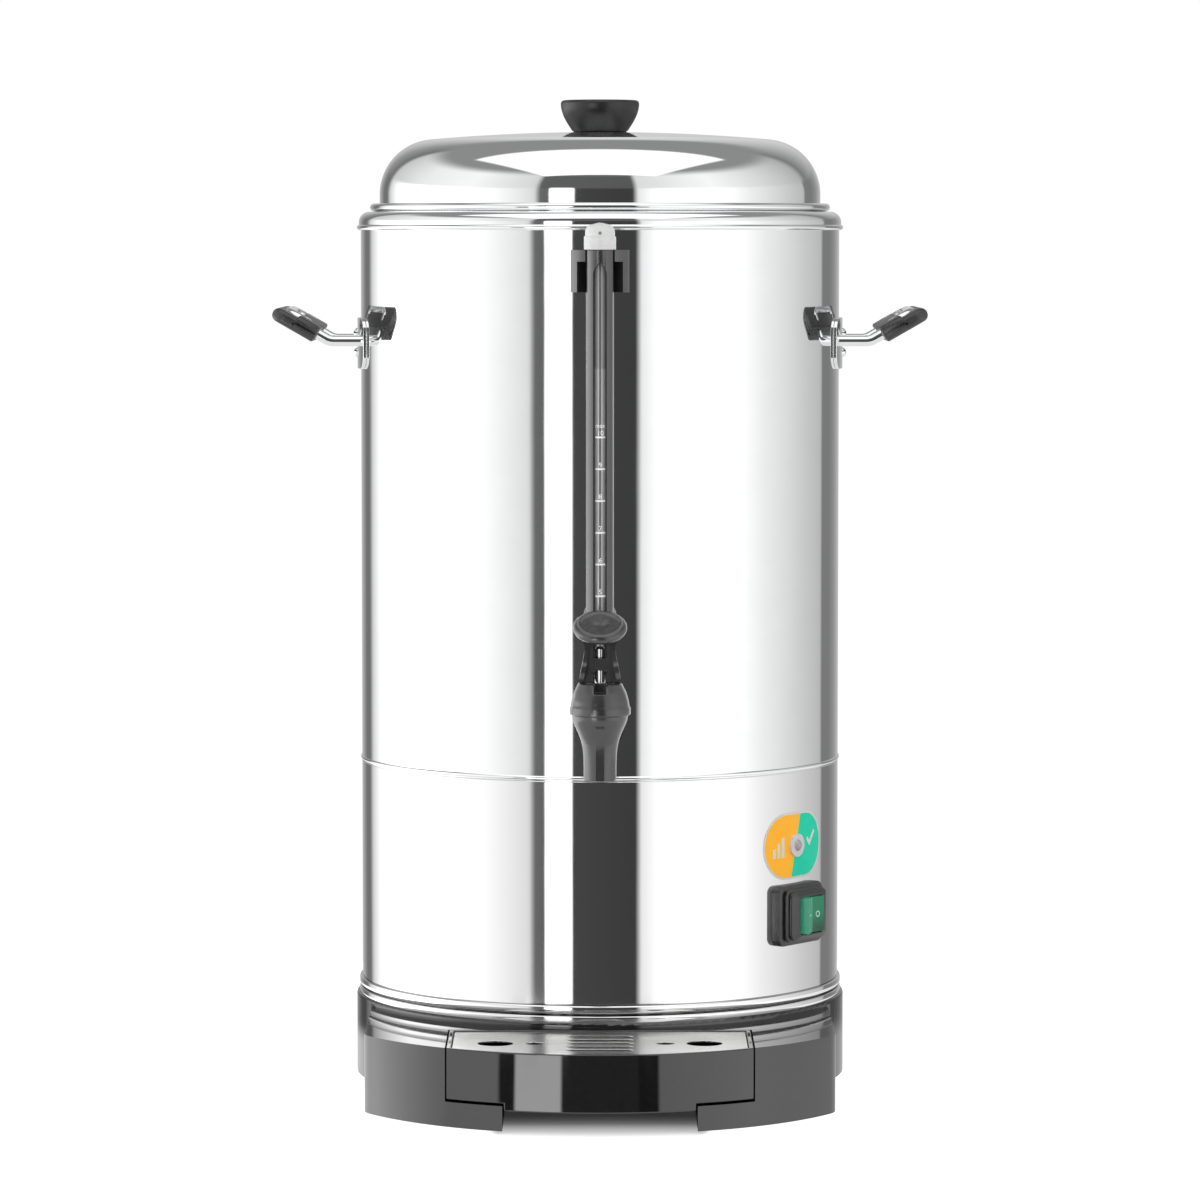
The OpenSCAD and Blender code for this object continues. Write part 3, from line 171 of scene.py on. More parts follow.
def studio_world():
    """Lights the scene by its panels. Seen straight on, or through glass, it is white."""
    world = bpy.data.worlds.new("studio")
    scene.world = world
    world.use_nodes = True
    tree = world.node_tree
    tree.nodes.clear()
    x, y, z = split_place(tree, tree.nodes.new("ShaderNodeTexCoord").outputs["Generated"])
    turn = math_node(tree, "ARCTAN2", x, math_node(tree, "MULTIPLY", y, -1.0))
    turn = math_node(tree, "MULTIPLY_ADD", turn, 0.5 / math.pi, 0.5)
    floor, low, high = [
        ramp_node(tree, turn, [((azimuth + 180) / 360, level) for azimuth, level in stops])
        for stops in (PANELS_FLOOR, PANELS_LOW, PANELS_HIGH)
    ]
    floor = mix_node(tree, step_node(tree, z, NEAR_TOP - EDGE, NEAR_TOP + EDGE), NEAR_FLOOR, floor)
    low = mix_node(tree, step_node(tree, z, FLOOR_TOP - FLOOR_EDGE, FLOOR_TOP + FLOOR_EDGE), floor, low)
    light = mix_node(tree, step_node(tree, z, CARD_TOP - EDGE, CARD_TOP + EDGE), low, high)
    light = mix_node(tree, step_node(tree, z, PANEL_TOP - 2 * EDGE, PANEL_TOP + 2 * EDGE), light, CEILING)
    height = math_node(tree, "MAXIMUM", z, LEAST_HEIGHT)
    side = math_node(tree, "ABSOLUTE", math_node(tree, "DIVIDE", x, height))
    depth = math_node(tree, "DIVIDE", y, height)
    within = step_node(tree, side, OVERHEAD_HALF_W + EDGE, OVERHEAD_HALF_W - EDGE)
    behind = step_node(tree, depth, OVERHEAD_FRONT - EDGE, OVERHEAD_FRONT + EDGE)
    before = step_node(tree, depth, OVERHEAD_BACK + EDGE, OVERHEAD_BACK - EDGE)
    inside = math_node(tree, "MULTIPLY", math_node(tree, "MULTIPLY", within, behind), before)
    light = mix_node(tree, inside, light, OVERHEAD)
    path = tree.nodes.new("ShaderNodeLightPath")
    seen = math_node(tree, "MAXIMUM", path.outputs["Is Camera Ray"], path.outputs["Is Transmission Ray"])
    background = tree.nodes.new("ShaderNodeBackground")
    tree.links.new(mix_node(tree, seen, light, 1.0), background.inputs["Color"])
    output = tree.nodes.new("ShaderNodeOutputWorld")
    tree.links.new(background.outputs[0], output.inputs["Surface"])


studio_world()


# Material helpers
# Most of a noise lies between these levels
NOISE_LOW = 0.3
NOISE_HIGH = 0.7
# Roughness varies this many times more coarsely than colour
COARSER = 6


def new_material(name):
    """A material with its tree, its main shader and its coordinates in metres."""
    material = bpy.data.materials.new(name)
    material.use_nodes = True
    tree = material.node_tree
    shader = tree.nodes["Principled BSDF"]
    place = tree.nodes.new("ShaderNodeTexCoord").outputs["Object"]
    return material, tree, shader, place


def noise_node(tree, place, scale, detail=3.0, stretch=None):
    """Noise of that many features a metre, stretched by a factor along each axis."""
    if stretch:
        mapping = tree.nodes.new("ShaderNodeMapping")
        tree.links.new(place, mapping.inputs["Vector"])
        mapping.inputs["Scale"].default_value = stretch
        place = mapping.outputs[0]
    node = tree.nodes.new("ShaderNodeTexNoise")
    tree.links.new(place, node.inputs["Vector"])
    node.inputs["Scale"].default_value = scale
    node.inputs["Detail"].default_value = detail
    return node.outputs["Fac"]


def range_node(tree, value, low, high):
    """Turns noise into a value from low to high."""
    node = tree.nodes.new("ShaderNodeMapRange")
    link_or_set(tree, node.inputs["Value"], value)
    node.inputs["From Min"].default_value = NOISE_LOW
    node.inputs["From Max"].default_value = NOISE_HIGH
    node.inputs["To Min"].default_value = low
    node.inputs["To Max"].default_value = high
    return node.outputs["Result"]


def bump_node(tree, shader, height, depth):
    """Bump of that depth, in metres."""
    node = tree.nodes.new("ShaderNodeBump")
    node.inputs["Strength"].default_value = 1
    node.inputs["Distance"].default_value = depth
    tree.links.new(height, node.inputs["Height"])
    tree.links.new(node.outputs["Normal"], shader.inputs["Normal"])


def surface(name, colour, rough, vary=0.06, grain=300.0, stretch=None, bump=None, **sockets):
    """A finish whose colour and roughness vary finely. bump is (features a metre, depth in metres)."""
    material, tree, shader, place = new_material(name)
    fine = range_node(tree, noise_node(tree, place, grain, stretch=stretch), 0.0, 1.0)
    darker, lighter = (tuple(c * share for c in colour) + (1,) for share in (1 - vary, 1 + vary))
    tree.links.new(mix_node(tree, fine, darker, lighter), shader.inputs["Base Color"])
    coarse = noise_node(tree, place, grain / COARSER, stretch=stretch)
    tree.links.new(range_node(tree, coarse, *rough), shader.inputs["Roughness"])
    if bump:
        bump_node(tree, shader, noise_node(tree, place, bump[0], stretch=stretch), bump[1])
    for socket, value in sockets.items():
        shader.inputs[socket.replace("_", " ")].default_value = value
    return material


# Finishes
POLISH_ROUGH = (0.03, 0.055)
POLISH_WAVE = (7.0, 0.00012)
polished_steel = surface("polished_steel", (0.93, 0.935, 0.94), POLISH_ROUGH, vary=0.01, grain=60.0,
                         bump=POLISH_WAVE, Metallic=1.0)
satin_steel = surface("satin_steel", (0.74, 0.74, 0.73), (0.22, 0.34), grain=500.0, stretch=(1, 1, 0.06),
                      bump=(900.0, 0.000006), Metallic=1.0)
chrome = surface("chrome_wire", (0.88, 0.885, 0.89), (0.05, 0.09), vary=0.02, Metallic=1.0)
zinc = surface("zinc_steel", (0.66, 0.67, 0.68), (0.25, 0.4), vary=0.1, grain=240.0, Metallic=1.0)
grid_steel = surface("grid_steel", (0.8, 0.8, 0.79), (0.16, 0.28), grain=700.0, stretch=(0.05, 1, 1),
                     Metallic=1.0)
aluminium = surface("cast_aluminium", (0.62, 0.62, 0.61), (0.4, 0.6), vary=0.1, bump=(1200.0, 0.00003),
                    Metallic=1.0)
sheath = surface("element_sheath", (0.36, 0.33, 0.29), (0.3, 0.5), vary=0.15, grain=120.0, Metallic=1.0)
gloss_black = surface("gloss_black", (0.014, 0.014, 0.015), (0.025, 0.05), vary=0.15, IOR=1.52,
                      Specular_IOR_Level=1.0)
moulded_black = surface("moulded_black", (0.02, 0.02, 0.021), (0.26, 0.34), vary=0.15,
                        bump=(1500.0, 0.000004), IOR=1.55, Specular_IOR_Level=0.9, Coat_Weight=0.5,
                        Coat_Roughness=0.06)
satin_black = surface("satin_black", (0.022, 0.022, 0.023), (0.34, 0.46), vary=0.15,
                      bump=(2600.0, 0.000012), IOR=1.5, Specular_IOR_Level=0.9)
knob_black = surface("knob_black", (0.012, 0.012, 0.012), (0.3, 0.4), vary=0.15,
                     bump=(2600.0, 0.000008), Specular_IOR_Level=0.6)
rubber = surface("rubber", (0.025, 0.025, 0.026), (0.6, 0.8), vary=0.2, bump=(2000.0, 0.00002))
dark_plastic = surface("dark_plastic", (0.04, 0.033, 0.03), (0.35, 0.5), vary=0.15)
ceramic = surface("ceramic_white", (0.72, 0.7, 0.65), (0.4, 0.6), vary=0.04, bump=(900.0, 0.00001))
silicone = surface("silicone", (0.66, 0.63, 0.57), (0.4, 0.55), vary=0.04, Subsurface_Weight=0.15)
cap_plastic = surface("cap_plastic", (0.82, 0.83, 0.82), (0.2, 0.3), vary=0.02, Subsurface_Weight=0.2,
                      Subsurface_Scale=0.003)
stem_metal = surface("stem_metal", (0.86, 0.86, 0.85), (0.12, 0.2), vary=0.03, Metallic=1.0)
white_ring = surface("white_ring", (0.8, 0.8, 0.79), (0.25, 0.35), vary=0.03)
lens = surface("lamp_lens", (0.78, 0.68, 0.72), (0.06, 0.1), vary=0.03, Transmission_Weight=0.5, IOR=1.49)
plate_border = surface("plate_border", (0.83, 0.83, 0.76), (0.3, 0.4), vary=0.03)
# The plate's orange and green fields glow with painted light
plate_orange_glow = surface("plate_orange_glow", (0.95, 0.42, 0.02), (0.25, 0.38), vary=0.05, Specular_IOR_Level=0.2,
                       Emission_Color=(1, 0.5, 0.03, 1), Emission_Strength=0.3)
plate_green_glow = surface("plate_green_glow", (0.0, 0.6, 0.37), (0.25, 0.38), vary=0.05, Specular_IOR_Level=0.2,
                      Emission_Color=(0, 0.6, 0.4, 1), Emission_Strength=0.25)
plate_print = surface("plate_print", (0.86, 0.9, 0.8), (0.3, 0.45), vary=0.04)
# Print of the gauge's scale, brightened by a painted glow
scale_print_glow = surface("scale_print_glow", (0.92, 0.92, 0.92), (0.35, 0.5), vary=0.03,
                      Emission_Color=(1, 1, 1, 1), Emission_Strength=0.35)
mark_print = surface("mark_print", (0.6, 0.86, 0.74), (0.3, 0.45), vary=0.04)
# Grey of the painted shade in the cap's vent
painted_vent_shade = surface("painted_vent_shade", (0.26, 0.26, 0.26), (0.5, 0.6), vary=0.1)


# Pale stripes of the gauge glass: inner and outer edge, from its middle, and where they get lighter
STRIPE_INNER = (0.0002, 0.0007)
STRIPE_OUTER = (0.0035, 0.0027)
STRIPE_LIGHTER_Z = (0.4045, 0.4025)
# Levels of the glass: the painted shade of its middle line and its edges, and its stripes above and below
# that height
GLASS_SHADE_LEVEL = 0.13
STRIPE_LEVELS = (0.42, 0.62)


def striped_glass(name):
    """Gauge glass: milky, with painted shade down its middle and at its edges, and lighter in its lower
    reach.
    """
    material, tree, shader, place = new_material(name)
    x, _, z = split_place(tree, place)
    aside = math_node(tree, "ABSOLUTE", x)
    stripe = math_node(tree, "MULTIPLY", step_node(tree, aside, *STRIPE_INNER),
                       step_node(tree, aside, *STRIPE_OUTER))
    milk = mix_node(tree, step_node(tree, z, *STRIPE_LIGHTER_Z), *STRIPE_LEVELS)
    # Painted shade where the stripes end: down the middle and at the edges
    milk = mix_node(tree, stripe, GLASS_SHADE_LEVEL, milk)
    fine = range_node(tree, noise_node(tree, place, 400.0, stretch=(1, 1, 0.1)), 0.94, 1.0)
    tree.links.new(mix_node(tree, fine, 0.0, milk), shader.inputs["Base Color"])
    tree.links.new(range_node(tree, noise_node(tree, place, 90.0), 0.12, 0.2), shader.inputs["Roughness"])
    shader.inputs["Coat Weight"].default_value = 1
    shader.inputs["Coat Roughness"].default_value = 0.03
    return material


# Painted shade of the skirt's foot, dark in the gaps at its lower edge and at its two bands, from its lower
# edge over its two bands, in millimetres
SKIRT_FOOT_SHADE = [
    (0, 0.05), (0.5, 0.05), (0.8, 0.93), (4.3, 0.93), (4.5, 0.1), (5.4, 0.1), (5.7, 0.93), (9.8, 0.93),
    (10, 0.4), (10.3, 0.4), (10.5, 0.93), (12, 0.93),
]


def jointed_steel(name):
    """Polished steel with dark lines of painted shade in the gaps at the skirt's bands and at its lower
    edge.
    """
    material, tree, shader, place = new_material(name)
    _, _, z = split_place(tree, place)
    span = SKIRT_FOOT_SHADE[-1][0] * MM
    up = math_node(tree, "MULTIPLY_ADD", z, 1 / span, -skirt_lo.z / span)
    shade = ramp_node(tree, up, [(rise * MM / span, level) for rise, level in SKIRT_FOOT_SHADE])
    tree.links.new(shade, shader.inputs["Base Color"])
    rough = range_node(tree, noise_node(tree, place, 10.0), *POLISH_ROUGH)
    tree.links.new(rough, shader.inputs["Roughness"])
    bump_node(tree, shader, noise_node(tree, place, POLISH_WAVE[0]), POLISH_WAVE[1])
    shader.inputs["Metallic"].default_value = 1
    return material


# Where the rocker's face with painted shade starts, from its valley, and where painted shade darkens it
# towards its foot
ROCKER_SHADED_FACE = (-0.0002, 0.0012)
ROCKER_SHADE_Z = (0.102, 0.091)
# Colours of painted light and shade: the lit face, the shaded face at its top and at its foot, and dark
# specks
ROCKER_LIT_FACE = (0.05, 0.34, 0.21, 1)
ROCKER_SHADED_TOP = (0.003, 0.2, 0.1, 1)
ROCKER_SHADED_FOOT = (0.002, 0.07, 0.035, 1)
ROCKER_SPECK = (0.0, 0.03, 0.015, 1)


def rocker_plastic(name):
    """Green rocker with a painted glow: one face painted lighter, the other painted darker towards its
    foot.
    """
    material, tree, shader, place = new_material(name)
    x, y, z = split_place(tree, place)
    sine, cosine = math.sin(math.radians(SWITCH_TURN)), math.cos(math.radians(SWITCH_TURN))
    aside = math_node(tree, "MULTIPLY_ADD", y, sine, -AXIS_Y * sine)
    aside = math_node(tree, "MULTIPLY_ADD", x, cosine, aside)
    foot = step_node(tree, z, *ROCKER_SHADE_Z)
    shaded_face = mix_node(tree, foot, ROCKER_SHADED_TOP, ROCKER_SHADED_FOOT)
    shade = mix_node(tree, step_node(tree, aside, *ROCKER_SHADED_FACE), ROCKER_LIT_FACE, shaded_face)
    fine = range_node(tree, noise_node(tree, place, 500.0), 0.9, 1.0)
    shade = mix_node(tree, fine, ROCKER_SPECK, shade)
    tree.links.new(shade, shader.inputs["Base Color"])
    # The painted light and shade also drive its glow
    tree.links.new(shade, shader.inputs["Emission Color"])
    tree.links.new(range_node(tree, noise_node(tree, place, 90.0), 0.08, 0.14), shader.inputs["Roughness"])
    shader.inputs["Emission Strength"].default_value = 0.35
    shader.inputs["Transmission Weight"].default_value = 0.15
    shader.inputs["IOR"].default_value = 1.49
    return material


glass = striped_glass("gauge_glass")
rocker_green_painted_light = rocker_plastic("rocker_green_painted_light")
# Skirt steel with painted shade at its bands and lower edge
skirt_steel_painted_shade = jointed_steel("skirt_steel_painted_shade")

FINISHES = {
    polished_steel: ["tank_shell", "lid_shell"],
    skirt_steel_painted_shade: ["lower_skirt"],
    satin_steel: ["pump_tube", "pump_foot", "filter_basket", "basket_cover"],
    chrome: ["handle_wire_left", "handle_wire_right", "handle_plate_left", "handle_plate_right",
             "handle_rivets"],
    zinc: ["bottom_plate", "base_screws", "tie_rods", "tie_nuts", "tap_nut", "gauge_screws", "knob_screw",
           "lever_pin"],
    grid_steel: ["drip_grid"],
    aluminium: ["heater_plate"],
    sheath: ["heating_element"],
    gloss_black: ["base_housing", "drip_tray"],
    moulded_black: ["tap_body", "tap_bonnet", "tap_lever", "gauge_guard", "gauge_bracket"],
    knob_black: ["lid_knob"],
    satin_black: ["handle_grip_left", "handle_grip_right", "switch_frame", "switch_body", "cord_gland",
                  "gland_nut"],
    rubber: ["feet"],
    dark_plastic: ["thermostat"],
    ceramic: ["thermal_cutout", "terminal_block"],
    silicone: ["tap_washers", "valve_seal", "gauge_seal"],
    cap_plastic: ["gauge_cap"],
    stem_metal: ["valve_stem"],
    rocker_green_painted_light: ["switch_rocker"],
    white_ring: ["indicator_bezel"],
    lens: ["indicator_lens"],
    glass: ["gauge_tube"],
}
for material, names in FINISHES.items():
    for name in names:
        nodes[name].data.materials.clear()
        nodes[name].data.materials.append(material)


# Piece helpers
def arc(centre, radius, start, end, count):
    """Points of an arc, angles in degrees."""
    turns = [math.radians(start + (end - start) * i / count) for i in range(count + 1)]
    return [(centre[0] + radius * math.cos(a), centre[1] + radius * math.sin(a)) for a in turns]


def shade_smooth(mesh, angle=35):
    mesh.polygons.foreach_set("use_smooth", [True] * len(mesh.polygons))
    mesh.set_sharp_from_angle(angle=math.radians(angle))


def lathe_mesh(name, outline, sides=256, place=(0, 0)):
    """Turns a closed outline of (radius, height) points, in millimetres, about an upright axis."""
    points = []
    rings = []
    for radius, height in outline:
        count = sides if radius > 0 else 1
        rings.append(range(len(points), len(points) + count))
        for i in range(count):
            a = 2 * math.pi * i / sides
            x = place[0] + radius * MM * math.cos(a)
            y = AXIS_Y + place[1] + radius * MM * math.sin(a)
            points.append((x, y, height * MM))
    faces = []
    for ring, after in zip(rings, rings[1:] + rings[:1]):
        for i in range(sides):
            j = (i + 1) % sides
            spots = ((ring, i), (ring, j), (after, j), (after, i))
            corners = list(dict.fromkeys(row[k % len(row)] for row, k in spots))
            if len(corners) > 2:
                faces.append(corners)
    mesh = bpy.data.meshes.new(name)
    mesh.from_pydata(points, [], faces)
    shade_smooth(mesh)
    return mesh


def add_piece(name, mesh, body, material, stands_for=()):
    """Adds a mesh as a piece that rides on a body, and that may stand for nodes."""
    piece = bpy.data.objects.new(name, mesh)
    scene.collection.objects.link(piece)
    mesh.materials.append(material)
    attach(piece, body)
    if stands_for:
        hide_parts(*stands_for)
    return piece


# Tank, skirt and lid as fine turned sheets, so that they mirror without facets
BODY_R = 135
WALL_R = 134
BEAD_R = 1.2
BEAD_IN = 0.5
BEAD_RISE = 1.5
COLLAR_R = 136.1
COLLAR_H = 10.3
COLLAR_BEAD_R = 1.5
COLLAR_BEAD_IN = 0.4
SHOULDER_R = 6
RIM_T = 2.1
MOUTH_R = 125.5
FLOOR_RISE = 15
FLOOR_T = 1.2
KNUCKLE_R = 4
WELL_R = 42
WELL_DEPTH = 5
seam_z = tank_lo.z / MM
rim_z = tank_hi.z / MM


def tank_outline():
    """Seam bead, wall, collar with rolled shoulder and lip, then the inside down to the floor's well."""
    bead_half = math.degrees(math.acos(BEAD_IN / BEAD_R))
    collar_z = rim_z - COLLAR_H
    shoulder = (COLLAR_R - SHOULDER_R, rim_z - SHOULDER_R)
    lip_x = MOUTH_R + RIM_T / 2
    floor_z = seam_z + FLOOR_RISE
    well_z = floor_z - WELL_DEPTH
    return [
        (BODY_R, seam_z), *arc((BODY_R - BEAD_IN, seam_z + BEAD_RISE), BEAD_R, -bead_half, bead_half, 12),
        (BODY_R, collar_z),
        *arc((COLLAR_R - COLLAR_BEAD_IN, collar_z + COLLAR_BEAD_R), COLLAR_BEAD_R, -90, 75, 14),
        *arc(shoulder, SHOULDER_R, 0, 90, 16),
        *arc((lip_x, rim_z - RIM_T / 2), RIM_T / 2, 90, 270, 10),
        *arc(shoulder, SHOULDER_R - RIM_T, 90, 0, 12),
        *arc((WALL_R - KNUCKLE_R, floor_z + KNUCKLE_R), KNUCKLE_R, 0, -90, 10),
        (WELL_R, floor_z), (WELL_R, well_z), (0, well_z), (0, well_z - FLOOR_T),
        (WELL_R + FLOOR_T, well_z - FLOOR_T), (WELL_R + FLOOR_T, floor_z - FLOOR_T),
        (WALL_R, floor_z - FLOOR_T), (WALL_R, seam_z),
    ]


BAND_R = 136.7
BAND_H = 4.5
BAND_PITCH = 5.5
BAND_ROUND = 1
SKIRT_ROUND = 0.9
JOGGLE_DROP = 2
JOGGLE_R = WALL_R - 0.1
JOGGLE_INNER_R = JOGGLE_R - 1
skirt_z = skirt_lo.z / MM
joggle_z = skirt_hi.z / MM


def skirt_outline():
    """Two bands at the foot, the wall, and the joggle that goes into the tank's lower edge."""
    bands = []
    for z in (skirt_z, skirt_z + BAND_PITCH):
        bands += [(BODY_R, z), *arc((BAND_R - BAND_ROUND, z + BAND_ROUND), BAND_ROUND, -90, 0, 6),
                  *arc((BAND_R - BAND_ROUND, z + BAND_H - BAND_ROUND), BAND_ROUND, 0, 90, 6),
                  (BODY_R, z + BAND_H)]
    round_z = seam_z - SKIRT_ROUND
    return [
        *bands, (BODY_R, round_z), *arc((BODY_R - SKIRT_ROUND, round_z), SKIRT_ROUND, 15, 90, 5),
        (JOGGLE_R, seam_z), (JOGGLE_R, joggle_z), (JOGGLE_INNER_R, joggle_z),
        (JOGGLE_INNER_R, seam_z - JOGGLE_DROP), (WALL_R, seam_z - JOGGLE_DROP), (WALL_R, skirt_z),
    ]


LID_R = 124.3
LID_T = 1
LID_GAP = 0.2
LID_CORNER_R = 31
LID_DOME_R = 1100
FLANGE_BEAD_R = 2.2
FLANGE_OUT = 1
plug_z = lid_lo.z / MM
lid_seat_z = rim_z + LID_GAP
flange_x = MOUTH_R + RIM_T / 2 + FLANGE_OUT
dome_z = lid_hi.z / MM - LID_DOME_R
corner_x = LID_R - LID_CORNER_R
corner_z = dome_z + math.sqrt((LID_DOME_R - LID_CORNER_R) ** 2 - corner_x ** 2)
corner_end = math.degrees(math.atan2(corner_z - dome_z, corner_x))


def lid_outline():
    """Plug, rolled flange, rounded shoulder and shallow dome, then back along the inside."""
    dome = arc((0, dome_z), LID_DOME_R, corner_end, 90, 20)[1:-1]
    inside = arc((0, dome_z), LID_DOME_R - LID_T, 90, corner_end, 20)[1:-1]
    return [
        (LID_R, plug_z), (LID_R, lid_seat_z),
        *arc((flange_x, lid_seat_z + FLANGE_BEAD_R), FLANGE_BEAD_R, -90, 213, 24),
        (LID_R, lid_seat_z + LID_T), *arc((corner_x, corner_z), LID_CORNER_R, 0, corner_end, 48), *dome,
        (0, dome_z + LID_DOME_R), (0, dome_z + LID_DOME_R - LID_T), *inside,
        *arc((corner_x, corner_z), LID_CORNER_R - LID_T, corner_end, 0, 32), (LID_R - LID_T, plug_z),
    ]


for name, outline, body, material, node in (
    ("tank", tank_outline(), "urn", polished_steel, "tank_shell"),
    ("skirt", skirt_outline(), "urn", skirt_steel_painted_shade, "lower_skirt"),
    ("lid", lid_outline(), "lid", polished_steel, "lid_shell"),
):
    add_piece(name, lathe_mesh(name, outline), body, material, [node])

KNOB_R = 22.1
KNOB_FOOT_R = 15.2
KNOB_EDGE_R = 2
KNOB_FOOT_ROUND = 0.6
# The knob's hollow top: how far in it starts, and its depth there and in the middle
KNOB_DISH_IN = 6
KNOB_DISH_EDGE = 0.4
KNOB_DISH = 1.2
FLARE_STEPS = 24
knob_lo, knob_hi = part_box("lid_knob")
knob_z = knob_lo.z / MM
knob_top = knob_hi.z / MM


def knob_outline():
    """Rounded foot, a flare like a quarter sine, a round edge and a hollow top."""
    rise = knob_top - KNOB_EDGE_R - knob_z
    flare = [(KNOB_FOOT_R + (KNOB_R - KNOB_FOOT_R) * math.sin(math.pi / 2 * t), knob_z + rise * t)
             for t in (i / FLARE_STEPS for i in range(1, FLARE_STEPS))]
    return [
        (0, knob_z),
        *arc((KNOB_FOOT_R - KNOB_FOOT_ROUND, knob_z + KNOB_FOOT_ROUND), KNOB_FOOT_ROUND, -90, 0, 5),
        *flare, *arc((KNOB_R - KNOB_EDGE_R, knob_top - KNOB_EDGE_R), KNOB_EDGE_R, 0, 90, 10),
        (KNOB_R - KNOB_DISH_IN, knob_top - KNOB_DISH_EDGE), (0, knob_top - KNOB_DISH),
    ]


add_piece("knob", lathe_mesh("knob", knob_outline(), sides=128), "lid", knob_black,
          ["lid_knob"])


# Sight gauge: the glass, its marks and its cap
TUBE_Y = 147.5
TUBE_R = 4
TUBE_BORE = 2.8
TUBE_ROUND = 0.4
tube_lo, tube_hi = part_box("gauge_tube")
tube_z = tube_lo.z / MM
tube_top = tube_hi.z / MM
tube_outline = [
    (TUBE_BORE, tube_z), *arc((TUBE_R - TUBE_ROUND, tube_z + TUBE_ROUND), TUBE_ROUND, -90, 0, 4),
    *arc((TUBE_R - TUBE_ROUND, tube_top - TUBE_ROUND), TUBE_ROUND, 0, 90, 4), (TUBE_BORE, tube_top),
]
add_piece("gauge_glass", lathe_mesh("gauge_glass", tube_outline, sides=96, place=(0, -TUBE_Y * MM)), "urn",
          glass, ["gauge_tube"])

CAP_R = 8.65
CAP_RING = 7.1
CAP_FOOT_ROUND = 0.3
CAP_STEP_ROUND = 0.4
CAP_DOME_R = 8
CAP_SHOULDER_R = 4.4
CAP_SHOULDER_DROP = 5
CAP_CROWN_R = 9
CAP_WELL = 9
CAP_WELL_R = TUBE_R + 0.1
cap_lo, cap_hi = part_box("gauge_cap")
cap_z = cap_lo.z / MM
cap_top = cap_hi.z / MM


def cap_outline():
    """A ring, a narrower dome with a crown, and the well that takes the glass."""
    step_z = cap_z + CAP_RING
    return [
        (CAP_WELL_R, cap_z),
        *arc((CAP_R - CAP_FOOT_ROUND, cap_z + CAP_FOOT_ROUND), CAP_FOOT_ROUND, -90, 0, 4),
        *arc((CAP_R - CAP_STEP_ROUND, step_z - CAP_STEP_ROUND), CAP_STEP_ROUND, 0, 90, 4),
        (CAP_DOME_R, step_z),
        *arc((CAP_DOME_R - CAP_SHOULDER_R, cap_top - CAP_SHOULDER_DROP), CAP_SHOULDER_R, 0, 62, 10),
        *arc((0, cap_top - CAP_CROWN_R), CAP_CROWN_R, 68, 85, 4), (0, cap_top),
        (0, cap_z + CAP_WELL), (CAP_WELL_R, cap_z + CAP_WELL),
    ]


add_piece("cap", lathe_mesh("cap", cap_outline(), sides=128, place=(0, -TUBE_Y * MM)), "cap", cap_plastic,
          ["gauge_cap"])


# Printed and laid-on pieces
# Height of a digit as a share of the font's size
DIGIT_SHARE = 0.69
# Points closer than this, in millimetres, become one
SAME_POINT = 1e-5
PRINT_T = 0.06


def flat_form(outlines=(), texts=()):
    """Flat faces from outlines and texts. A text is words, height, middle and foot, in millimetres."""
    form = bmesh.new()
    for outline in outlines:
        form.faces.new([form.verts.new((u, v, 0)) for u, v in outline])
    for words, height, middle, foot in texts:
        curve = bpy.data.curves.new("words", "FONT")
        curve.body = words
        curve.align_x = "CENTER"
        curve.size = height / DIGIT_SHARE
        curve.resolution_u = 3
        holder = bpy.data.objects.new("words", curve)
        letters = bpy.data.meshes.new_from_object(holder)
        for vertex in letters.vertices:
            vertex.co.x += middle
            vertex.co.y += foot
        form.from_mesh(letters)
        bpy.data.objects.remove(holder)
        bpy.data.meshes.remove(letters)
    bmesh.ops.remove_doubles(form, verts=form.verts[:], dist=SAME_POINT)
    return form


def laid_mesh(name, form, depth, lay, step):
    """Gives flat faces a depth, cuts them at each step and lays them on a curved place by lay(u, v, w)."""
    low = min(v.co.x for v in form.verts)
    high = max(v.co.x for v in form.verts)
    for k in range(math.ceil(low / step), math.floor(high / step) + 1):
        parts = form.verts[:] + form.edges[:] + form.faces[:]
        bmesh.ops.bisect_plane(form, geom=parts, dist=SAME_POINT, plane_co=(k * step, 0, 0),
                               plane_no=(1, 0, 0))
    raised = bmesh.ops.extrude_face_region(form, geom=form.faces[:])["geom"]
    for part in raised:
        if isinstance(part, bmesh.types.BMVert):
            part.co.z = depth
    for vertex in form.verts:
        vertex.co = lay(*vertex.co)
    bmesh.ops.recalc_face_normals(form, faces=form.faces[:])
    mesh = bpy.data.meshes.new(name)
    form.to_mesh(mesh)
    form.free()
    shade_smooth(mesh)
    return mesh


def on_cylinder(radius, forward, turn=0.0, middle_z=0.0):
    """Lays (along the curve, up, out) on an upright cylinder, turned from the front by degrees."""
    def lay(u, v, w):
        a = math.radians(turn) + u / radius
        r = (radius + w) * MM
        return r * math.sin(a), AXIS_Y - forward * MM - r * math.cos(a), (middle_z + v) * MM
    return lay


def bar(u, v, width, height):
    """Rectangle about its middle."""
    return [(u + sx * width / 2, v + sy * height / 2) for sx, sy in ((-1, -1), (1, -1), (1, 1), (-1, 1))]


# Vent in the cap's front: a grey disc of painted shade where its hole is
VENT_R = 0.9
VENT_RISE = 1.7
VENT_T = 0.03
VENT_GAP = 0.01
on_cap = on_cylinder(CAP_DOME_R + VENT_GAP, TUBE_Y, 0, cap_z + CAP_RING + VENT_RISE)
vent_form = flat_form([arc((0, 0), VENT_R, 0, 345, 23)])
add_piece("cap_vent_shade", laid_mesh("cap_vent_shade", vent_form, VENT_T, on_cap, step=0.4), "cap", painted_vent_shade)

